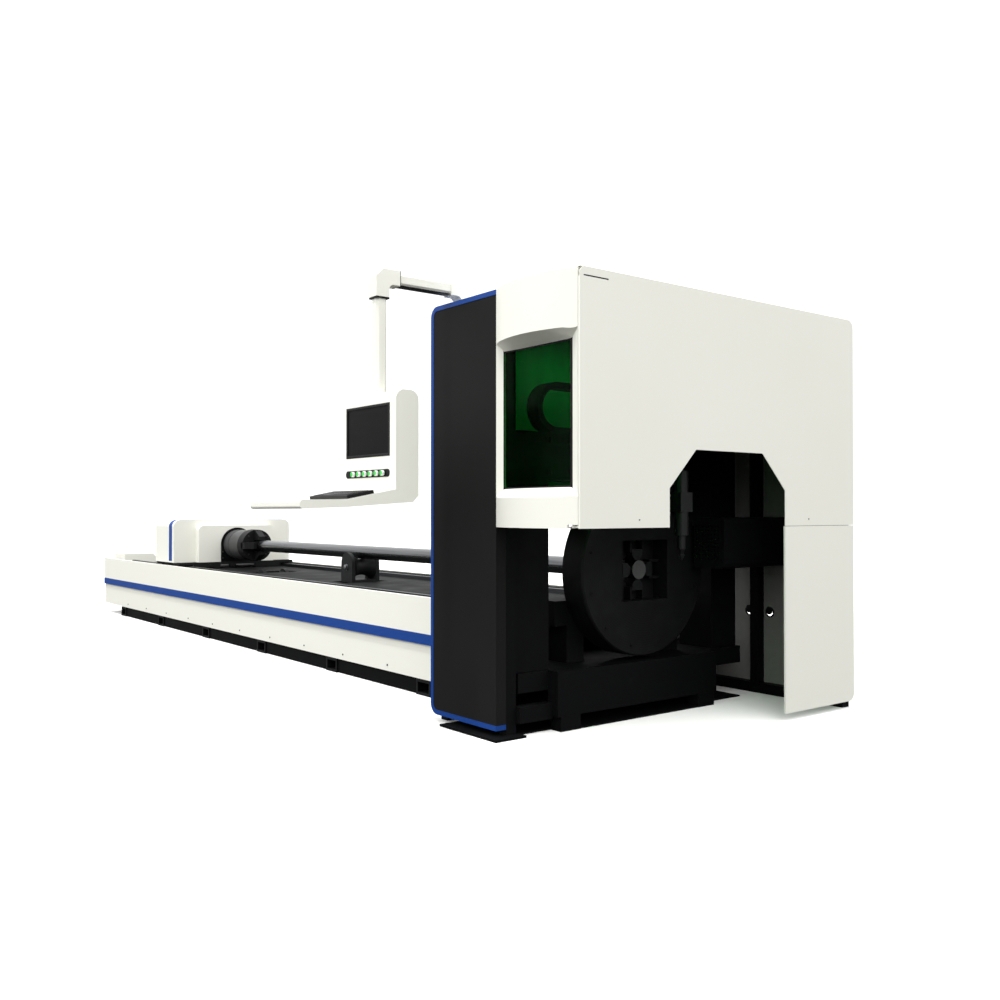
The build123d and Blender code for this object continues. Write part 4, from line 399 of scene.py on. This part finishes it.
def frame_ring(x0, x1, z0, z1, back_y, width, depth, edge):
    """A flat four-sided frame standing on a wall that faces -Y."""
    deselect()
    bpy.ops.mesh.primitive_plane_add(size=1, rotation=TO_OPERATOR,
                                     location=((x0 + x1) / 2, back_y, (z0 + z1) / 2))
    bpy.context.object.scale = (x1 - x0, z1 - z0, 1)
    apply_place()
    edit()
    bpy.ops.mesh.select_mode(type="FACE")
    bpy.ops.mesh.select_all(action="SELECT")
    bpy.ops.mesh.inset(thickness=width)
    bpy.ops.mesh.delete(type="FACE")
    bpy.ops.mesh.select_all(action="SELECT")
    bpy.ops.mesh.extrude_region_move(TRANSFORM_OT_translate={"value": (0, -depth, 0)})
    bpy.ops.mesh.select_all(action="SELECT")
    bpy.ops.mesh.normals_make_consistent(inside=False)
    pick("edges", lambda e: abs(middle(e).y - back_y + depth) < NEAR)
    bpy.ops.mesh.bevel(offset=edge, segments=EDGE_STEPS, affect="EDGES")
    leave()
    return bpy.context.object


def disc(sides, radius, low_z, high_z):
    """A plain disc about Z between two heights, which each user shapes further."""
    deselect()
    bpy.ops.mesh.primitive_cylinder_add(vertices=sides, radius=radius, depth=high_z - low_z,
                                        location=(0, 0, (low_z + high_z) / 2))
    apply_place()
    return bpy.context.object


def socket_screw(radius, height):
    """One screw head with a socket, standing at the origin and facing +Z."""
    crown, land, socket = 0.18, 0.30, 0.55
    disc(12, radius, 0, height)
    edit()
    pick("faces", faces_up)
    bpy.ops.mesh.inset(thickness=radius * crown)
    bpy.ops.transform.translate(value=(0, 0, height * crown))
    bpy.ops.mesh.inset(thickness=radius * land)
    bpy.ops.mesh.extrude_region_move(TRANSFORM_OT_translate={"value": (0, 0, -height * socket)})
    leave()
    return bpy.context.object


def hex_bolt(radius, height, washer):
    """One hexagon bolt head on its washer, standing at the origin and facing +Z."""
    seat = height * 0.25
    base = disc(24, radius * washer, 0, seat)
    disc(6, radius, seat, height)
    edit()
    pick("edges", lambda e: middle(e).z > height * 0.99)
    bpy.ops.mesh.bevel(offset=height * 0.1, segments=EDGE_STEPS, affect="EDGES")
    leave()
    base.select_set(True)
    bpy.context.view_layer.objects.active = base
    bpy.ops.object.join()
    return base


def spread(first, places, turn=(0, 0, 0)):
    """Copies one modelled piece to each place, turned the same way, and joins the copies."""
    copies = []
    for place in places:
        deselect()
        first.select_set(True)
        bpy.context.view_layer.objects.active = first
        bpy.ops.object.duplicate()
        copy = bpy.context.object
        copy.location = place
        copy.rotation_euler = turn
        copies.append(copy)
    deselect()
    first.select_set(True)
    bpy.ops.object.delete()
    for copy in copies:
        copy.select_set(True)
    bpy.context.view_layer.objects.active = copies[0]
    if len(copies) > 1:
        bpy.ops.object.join()
    return bpy.context.object


def collar(outer, inner, depth):
    """One round collar about Z, standing at the origin, with rounded rims."""
    deselect()
    bpy.ops.mesh.primitive_cylinder_add(vertices=32, radius=outer, depth=depth,
                                        end_fill_type="NOTHING", location=(0, 0, depth / 2))
    apply_place()
    wall = bpy.context.object.modifiers.new("wall", "SOLIDIFY")
    wall.thickness = outer - inner
    wall.offset = -1
    rim = bpy.context.object.modifiers.new("rim", "BEVEL")
    rim.width = min(outer - inner, depth) * 0.25
    rim.segments = EDGE_STEPS
    bpy.ops.object.modifier_apply(modifier="wall")
    bpy.ops.object.modifier_apply(modifier="rim")
    return bpy.context.object


def circle(face_x, radius, first, step):
    """Places round the tube axis on a face at this X, from a first angle on, in degrees."""
    angles = [math.radians(a) for a in range(first, 360, step)]
    return [(face_x, radius * math.sin(a), AXIS_Z + radius * math.cos(a)) for a in angles]


# Screw heads by radius and height, and bolt heads with their washer's share of the head
FLANGE_SCREW = (0.008, 0.008)
DRUM_SCREW = (0.009, 0.004)
CHUCK_SCREW = (0.009, 0.008)
HEAD_SCREW = (0.005, 0.005)
PANEL_SCREW = (0.003, 0.003)
SKIRT_SCREW = (0.006, 0.003)
AXLE_NUT = (0.020, 0.016, 1.25)
ANCHOR_BOLT = (0.015, 0.018, 1.5)

# Door: the rubber seal round the window
SEAL_BACK_Y = -0.952
SEAL_LAP = 0.012
SEAL_WIDTH = 0.016
SEAL_DEPTH = 0.004
SEAL_EDGE = 0.0015
pane_low, pane_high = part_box("window_pane")
frame_ring(pane_low.x - SEAL_LAP, pane_high.x + SEAL_LAP,
           pane_low.z - SEAL_LAP, pane_high.z + SEAL_LAP,
           SEAL_BACK_Y, SEAL_WIDTH, SEAL_DEPTH, SEAL_EDGE)
settle("window_seal", "door", rubber)

# Pendant: screen surround and button collars
SURROUND_LAP = 0.004
SURROUND_WIDTH = 0.013
SURROUND_DEPTH = 0.002
SURROUND_EDGE = 0.0008
glass_low, glass_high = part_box("pendant_screen")
frame_ring(glass_low.x - SURROUND_LAP, glass_high.x + SURROUND_LAP,
           glass_low.z - SURROUND_LAP, glass_high.z + SURROUND_LAP,
           CASE_FRONT_Y, SURROUND_WIDTH, SURROUND_DEPTH, SURROUND_EDGE)
settle("screen_surround", "pendant", plastic)

STRIP_FACE_Y = CASE_FRONT_Y - 0.003
COLLAR_OUTER_R = 0.0168
COLLAR_INNER_R = 0.0136
COLLAR_DEPTH = 0.004
button_places = [(FIRST_BUTTON_X + BUTTON_PITCH * i, STRIP_FACE_Y, STRIP_Z)
                 for i in range(BUTTON_COUNT)]
spread(collar(COLLAR_OUTER_R, COLLAR_INNER_R, COLLAR_DEPTH), button_places, TO_OPERATOR)
settle("button_collars", "pendant", plastic)

# The keyboard lies on a slope; its keys stand in its well in rows along that slope
SHELF_RISE = 0.048
SHELF_RUN = 0.249
KEY_TILT = math.atan2(SHELF_RISE, SHELF_RUN)
KEY_X = PENDANT_X + 0.070
KEY_COLUMNS = 15
KEY_ROWS = 5
KEY_PITCH = 0.0218
ROW_PITCH = 0.0222
FIRST_ROW = 0.0250
WELL_FLOOR = 0.012
KEY_HALF_W = 0.0090
KEY_HALF_D = 0.0095
KEY_H = 0.007
KEY_EDGE = 0.0020
KEY_DISH_RIM = 0.0014
KEY_DISH = 0.0006
# the space bar takes the place of these columns in the near row
SPACE_COLUMNS = range(4, 10)
SPACE_HALF_W = 2.9 * KEY_PITCH
SPACE_X = KEY_X - 0.5 * KEY_PITCH
board_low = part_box("keyboard")[0]


def on_board(row):
    """Place on the floor of the key well, in this row up the slope from the near edge."""
    run = FIRST_ROW + ROW_PITCH * row
    return (board_low.y + run * math.cos(KEY_TILT),
            board_low.z + WELL_FLOOR * math.cos(KEY_TILT) + run * math.sin(KEY_TILT))


key_places = [(KEY_X + (column - KEY_COLUMNS // 2) * KEY_PITCH, *on_board(row))
              for row in range(KEY_ROWS) for column in range(KEY_COLUMNS)
              if row > 0 or column not in SPACE_COLUMNS]
key = slab((-KEY_HALF_W, KEY_HALF_W), (-KEY_HALF_D, KEY_HALF_D), (0, KEY_H), KEY_EDGE)
edit()
pick("faces", faces_up)
bpy.ops.mesh.inset(thickness=KEY_DISH_RIM, depth=-KEY_DISH)
leave()
spread(key, key_places, (KEY_TILT, 0, 0))
settle("keyboard_keys", "pendant", keycap)
space = slab((-SPACE_HALF_W, SPACE_HALF_W), (-KEY_HALF_D, KEY_HALF_D), (0, KEY_H), KEY_EDGE)
space.location = (SPACE_X, *on_board(0))
space.rotation_euler = (KEY_TILT, 0, 0)
settle("space_bar", "pendant", keycap)

# Carriage: the blue band that wraps its cover, and the screws of the spindle flange
BAND_X0 = -1.605
BAND_X1 = -1.525
BAND_BASE_Z = 0.62
BAND_CORNER_Y = 0.5
BAND_BEND_R = 0.060
BAND_T = 0.0015
cover_low, cover_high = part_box("carriage_cover")
deselect()
bpy.ops.mesh.primitive_cube_add(size=1, location=((BAND_X0 + BAND_X1) / 2, 0,
                                                  (BAND_BASE_Z + cover_high.z) / 2))
bpy.context.object.scale = (BAND_X1 - BAND_X0, cover_high.y - cover_low.y,
                            cover_high.z - BAND_BASE_Z)
apply_place()
edit()
pick("faces", lambda f: abs(f.normal.x) > 0.9 or faces_down(f))
bpy.ops.mesh.delete(type="FACE")
pick("edges", lambda e: middle(e).z > cover_high.z - NEAR and abs(middle(e).y) > BAND_CORNER_Y)
bpy.ops.mesh.bevel(offset=BAND_BEND_R, segments=8, affect="EDGES")
leave()
skin = bpy.context.object.modifiers.new("skin", "SOLIDIFY")
skin.thickness = BAND_T
skin.offset = 1
bpy.ops.object.modifier_apply(modifier="skin")
settle("carriage_band", "carriage", blue)

FLANGE_SCREW_Y = 0.145
FLANGE_SCREW_ZS = (0.64, 0.70)
flange_face_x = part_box("spindle_flange")[1].x
flange_places = [(flange_face_x, y, z) for y in (-FLANGE_SCREW_Y, FLANGE_SCREW_Y)
                 for z in FLANGE_SCREW_ZS]
spread(socket_screw(*FLANGE_SCREW), flange_places, TO_EXIT)
settle("flange_screws", "carriage", dark_screw)

# Chucks: screw circles on the drum and the rear chuck
DRUM_CIRCLE_R = 0.405
CHUCK_CIRCLE_R = 0.118
spread(socket_screw(*DRUM_SCREW), circle(DRUM_FACE_X, DRUM_CIRCLE_R, 15, 30), TO_EXIT)
settle("drum_screws", "front_chuck", chuck_steel)
chuck_face_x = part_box("rear_chuck")[1].x
spread(socket_screw(*CHUCK_SCREW), circle(chuck_face_x, CHUCK_CIRCLE_R, 45, 90), TO_EXIT)
settle("chuck_screws", "rear_chuck", dark_screw)

# Workpiece: the moulded cap that closes the tube's front end
CAP_R = 0.0505
CAP_T = 0.003
CAP_RIM = 0.003
CAP_LIP = 0.008
CAP_DISH = 0.001
tube_end_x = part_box("workpiece_tube")[1].x
cap = disc(48, CAP_R, 0, CAP_T)
edit()
pick("faces", faces_up)
bpy.ops.mesh.inset(thickness=CAP_RIM)
bpy.ops.transform.translate(value=(0, 0, CAP_DISH))
bpy.ops.mesh.inset(thickness=CAP_LIP)
bpy.ops.transform.translate(value=(0, 0, -CAP_DISH))
leave()
spread(cap, [(tube_end_x, 0, AXIS_Z)], TO_EXIT)
settle("tube_end_cap", "rear_chuck", cap_grey)

# Cutting head: nozzle sleeve and screws
NOZZLE_TIP_R = 0.0055
NOZZLE_TOP_R = 0.0168
NOZZLE_TIP_Z = 0.834
NOZZLE_TOP_Z = 0.864
NOZZLE_LIP = 0.002
HEAD_SCREW_Y = 0.048
HEAD_SCREW_ZS = (1.075, 1.165, 1.255)
deselect()
bpy.ops.mesh.primitive_cone_add(vertices=32, radius1=NOZZLE_TIP_R, radius2=NOZZLE_TOP_R,
                                depth=NOZZLE_TOP_Z - NOZZLE_TIP_Z,
                                location=(HEAD_X, 0, (NOZZLE_TIP_Z + NOZZLE_TOP_Z) / 2))
apply_place()
edit()
pick("faces", faces_down)
bpy.ops.mesh.inset(thickness=NOZZLE_LIP)
bpy.ops.mesh.extrude_region_move(TRANSFORM_OT_translate={"value": (0, 0, NOZZLE_LIP)})
pick("edges", lambda e: abs(middle(e).z - NOZZLE_TOP_Z) < NEAR)
bpy.ops.mesh.bevel(offset=NOZZLE_LIP, segments=EDGE_STEPS, affect="EDGES")
leave()
settle("nozzle_sleeve", "cutting_head", dark_screw)
head_places = [(HEAD_PLATE_X, y, z) for y in (-HEAD_SCREW_Y, HEAD_SCREW_Y) for z in HEAD_SCREW_ZS]
spread(socket_screw(*HEAD_SCREW), head_places, TO_EXIT)
settle("head_screws", "cutting_head", screw_steel)

# Supports: an axle nut on each cheek
AXLE_Z = 0.6565
CHEEK_Y = 0.120
NUT_SIDES = (("_axle_nut", -CHEEK_Y, TO_OPERATOR), ("_far_axle_nut", CHEEK_Y, TO_REAR))
for body, (x, drop) in SUPPORTS.items():
    for ending, y, turn in NUT_SIDES:
        spread(hex_bolt(*AXLE_NUT), [(x, y, AXLE_Z - drop)], turn)
        settle(body + ending, body, screw_steel)

# Enclosure: the two screws on the end panel
PANEL_SCREW_PLACES = [(END_X, -0.617, 1.044), (END_X, 0.652, 1.043)]
spread(socket_screw(*PANEL_SCREW), PANEL_SCREW_PLACES, TO_EXIT)
settle("end_panel_screws", "machine", dark_screw)

# Rear wall: rubber grommets in the two cable holes
HOLE_PITCH = 0.148
HOLE_XS = [END_X - 0.559 - HOLE_PITCH * i for i in range(2)]
GROMMET_Y = 1.064
GROMMET_Z = 0.481
GROMMET_OUTER_R = 0.031
GROMMET_INNER_R = 0.0225
GROMMET_DEPTH = 0.006
spread(collar(GROMMET_OUTER_R, GROMMET_INNER_R, GROMMET_DEPTH),
       [(x, GROMMET_Y, GROMMET_Z) for x in HOLE_XS], TO_OPERATOR)
settle("cable_grommets", "machine", rubber)
# a flap closes each hole but for a sliver at the bottom
FLAP_Y = 1.0565
FLAP_Z = 0.491
FLAP_R = 0.0240
FLAP_T = 0.0015
FLAP_RIM = 0.004
FLAP_CROWN = 0.001
flap = disc(32, FLAP_R, -FLAP_T / 2, FLAP_T / 2)
edit()
pick("faces", faces_up)
bpy.ops.mesh.inset(thickness=FLAP_RIM)
bpy.ops.transform.translate(value=(0, 0, FLAP_CROWN))
leave()
spread(flap, [(x, FLAP_Y, FLAP_Z) for x in HOLE_XS], TO_OPERATOR)
settle("cable_flaps", "machine", rubber)

# Bed: cut rims on the open ends of the cross tubes, and the small screws low on both skirts
FOOT_HALF_W = 0.075
FOOT_H = 0.092
FOOT_FACE_Y = -0.627
FOOT_WALL = 0.016
FOOT_RIM_DEPTH = 0.002
FOOT_RIM_EDGE = 0.0005
for index, x in enumerate(FOOT_XS):
    frame_ring(x - FOOT_HALF_W, x + FOOT_HALF_W, 0.0, FOOT_H,
               FOOT_FACE_Y, FOOT_WALL, FOOT_RIM_DEPTH, FOOT_RIM_EDGE)
    settle("foot_rim_" + str(index + 1), "machine", cast_grey)

FRONT_SKIRT_Y = -0.639
REAR_SKIRT_Y = 0.588
SKIRT_SCREW_Z = 0.135
SKIRT_SCREW_LEAD = 0.18
SKIRT_SCREW_PITCH = 0.565
skirt_xs = [FOOT_XS[0] + SKIRT_SCREW_LEAD + SKIRT_SCREW_PITCH * i for i in range(11)]
spread(socket_screw(*SKIRT_SCREW), [(x, FRONT_SKIRT_Y, SKIRT_SCREW_Z) for x in skirt_xs],
       TO_OPERATOR)
settle("front_skirt_screws", "machine", dark_screw)
spread(socket_screw(*SKIRT_SCREW), [(x, REAR_SKIRT_Y, SKIRT_SCREW_Z) for x in skirt_xs], TO_REAR)
settle("rear_skirt_screws", "machine", dark_screw)

# Bed: anchor bolts in the four lugs
ANCHOR_X = 2.945
ANCHOR_Y = 0.48
LUG_TOP_Z = 0.015
spread(hex_bolt(*ANCHOR_BOLT), [(x, y, LUG_TOP_Z) for x in (-ANCHOR_X, ANCHOR_X)
                                for y in (-ANCHOR_Y, ANCHOR_Y)])
settle("anchor_bolts", "machine", screw_steel)

# Arm: a dark gasket at the outer elbow, and a thin black sheet under the tube that is painted shade
# on its underside
GASKET_XS = (PENDANT_X - 0.0375, PENDANT_X + 0.0375)
GASKET_YS = (-1.281, -1.277)
GASKET_ZS = (2.1775, 2.2525)
GASKET_EDGE = 0.0008
SHADE_SHEET_XS = (PENDANT_X - 0.0270, PENDANT_X + 0.0310)
SHADE_SHEET_YS = (-1.275, -0.979)
SHADE_SHEET_ZS = (2.1820, 2.1855)
SHADE_SHEET_EDGE = 0.0010
slab(GASKET_XS, GASKET_YS, GASKET_ZS, GASKET_EDGE)
settle("outer_arm_gasket", "arm", rubber)
# a black sheet under the arm tube as painted shade on its underside
slab(SHADE_SHEET_XS, SHADE_SHEET_YS, SHADE_SHEET_ZS, SHADE_SHEET_EDGE)
settle("arm_underside_shade_sheet", "arm", plastic)

# Floor and light
FLOOR_SIZE = 160
HORIZON_GLOW = 1.05
ZENITH_GLOW = 2.2
BACKDROP_GLOW = 1.3
deselect()
bpy.ops.mesh.primitive_plane_add(size=1, location=(0, 0, 0))
floor = bpy.context.object
floor.scale = (FLOOR_SIZE, FLOOR_SIZE, 1)
apply_place()
floor.name = "studio_floor"
paper, tree, place = start("pale_studio_floor")
cloud = add(tree, "TexNoise", {"Vector": place, "Scale": per(1500), "Detail": 3.0})
tint = add(tree, "Mix", {0: cloud.outputs[0], 6: linear("#FAFAF8"), 7: linear("#F6F6F4")},
           data_type="RGBA")
# the floor looks white, but throws little light back up, so undersides stay as dark as in the photo
pale = add(tree, "BsdfDiffuse", {"Color": tint.outputs[2], "Roughness": 0.8})
dim = add(tree, "BsdfDiffuse", {"Color": linear("#3C3C3C"), "Roughness": 0.8})
seen = add(tree, "LightPath")
close(tree, add(tree, "MixShader", {0: seen.outputs["Is Camera Ray"], 1: dim.outputs[0],
                                    2: pale.outputs[0]}))
floor.data.materials.append(paper)

world = bpy.data.worlds.new("white_studio")
bpy.context.scene.world = world
world.use_nodes = True
tree = world.node_tree
tree.nodes.clear()
# brighter overhead than at the horizon, so that undersides and the inside stay dark
height = add(tree, "SeparateXYZ", {"Vector": add(tree, "TexCoord").outputs["Generated"]})
sky = add(tree, "MapRange", {"Value": height.outputs["Z"], "From Min": 0.0, "From Max": 1.0,
                             "To Min": HORIZON_GLOW, "To Max": ZENITH_GLOW})
glow = add(tree, "Background", {"Color": linear("#FFFFFF"), "Strength": sky.outputs[0]})
# the camera itself sees plain white behind the machine
backdrop = add(tree, "Background", {"Color": linear("#FFFFFF"), "Strength": BACKDROP_GLOW})
seen = add(tree, "LightPath")
blend = add(tree, "MixShader", {0: seen.outputs["Is Camera Ray"], 1: glow.outputs[0],
                                2: backdrop.outputs[0]})
add(tree, "OutputWorld", {"Surface": blend.outputs[0]})
bpy.context.scene.view_settings.view_transform = "Standard"


def light(kind, place, turn, energy):
    """One lamp at a place, turned by degrees about each axis; its own data comes back."""
    deselect()
    bpy.ops.object.light_add(type=kind, location=place, rotation=[math.radians(a) for a in turn])
    lamp = bpy.context.object.data
    lamp.energy = energy
    return lamp


def soft_box(place, turn, energy, wide, tall):
    """A rectangular lamp, this wide and this tall."""
    lamp = light("AREA", place, turn, energy)
    lamp.shape = "RECTANGLE"
    lamp.size = wide
    lamp.size_y = tall
    return lamp


light("SUN", (0, 0, 8), (15, 0, 0), 1.7).angle = math.radians(3)
# one wide lamp on the operator's side and a smaller one beyond the exit end
soft_box((1.0, -9.0, 7.0), (52, 0, 0), 300, 12, 4)
soft_box((13.0, -5.0, 5.0), (68, 0, 66), 140, 6, 4)
# a guessed work lamp under the roof, which lights the wall behind the window
soft_box((4.15, -0.10, 2.12), (0, 75, 0), 0.13, 0.08, 0.60).spread = math.radians(70)

# Camera at the photograph's place, level but for 0.69 degrees, on a 36 mm square frame
PHOTO_PLACE = (7.712, -3.839, 1.08)
PHOTO_TILT = math.radians(90.69)
PHOTO_BEARING = math.radians(52.27)
deselect()
bpy.ops.object.camera_add(location=PHOTO_PLACE, rotation=(PHOTO_TILT, 0, PHOTO_BEARING))
camera = bpy.context.object
camera.data.sensor_width = 36
camera.data.lens = 35.64
camera.data.clip_end = 300
bpy.context.scene.camera = camera
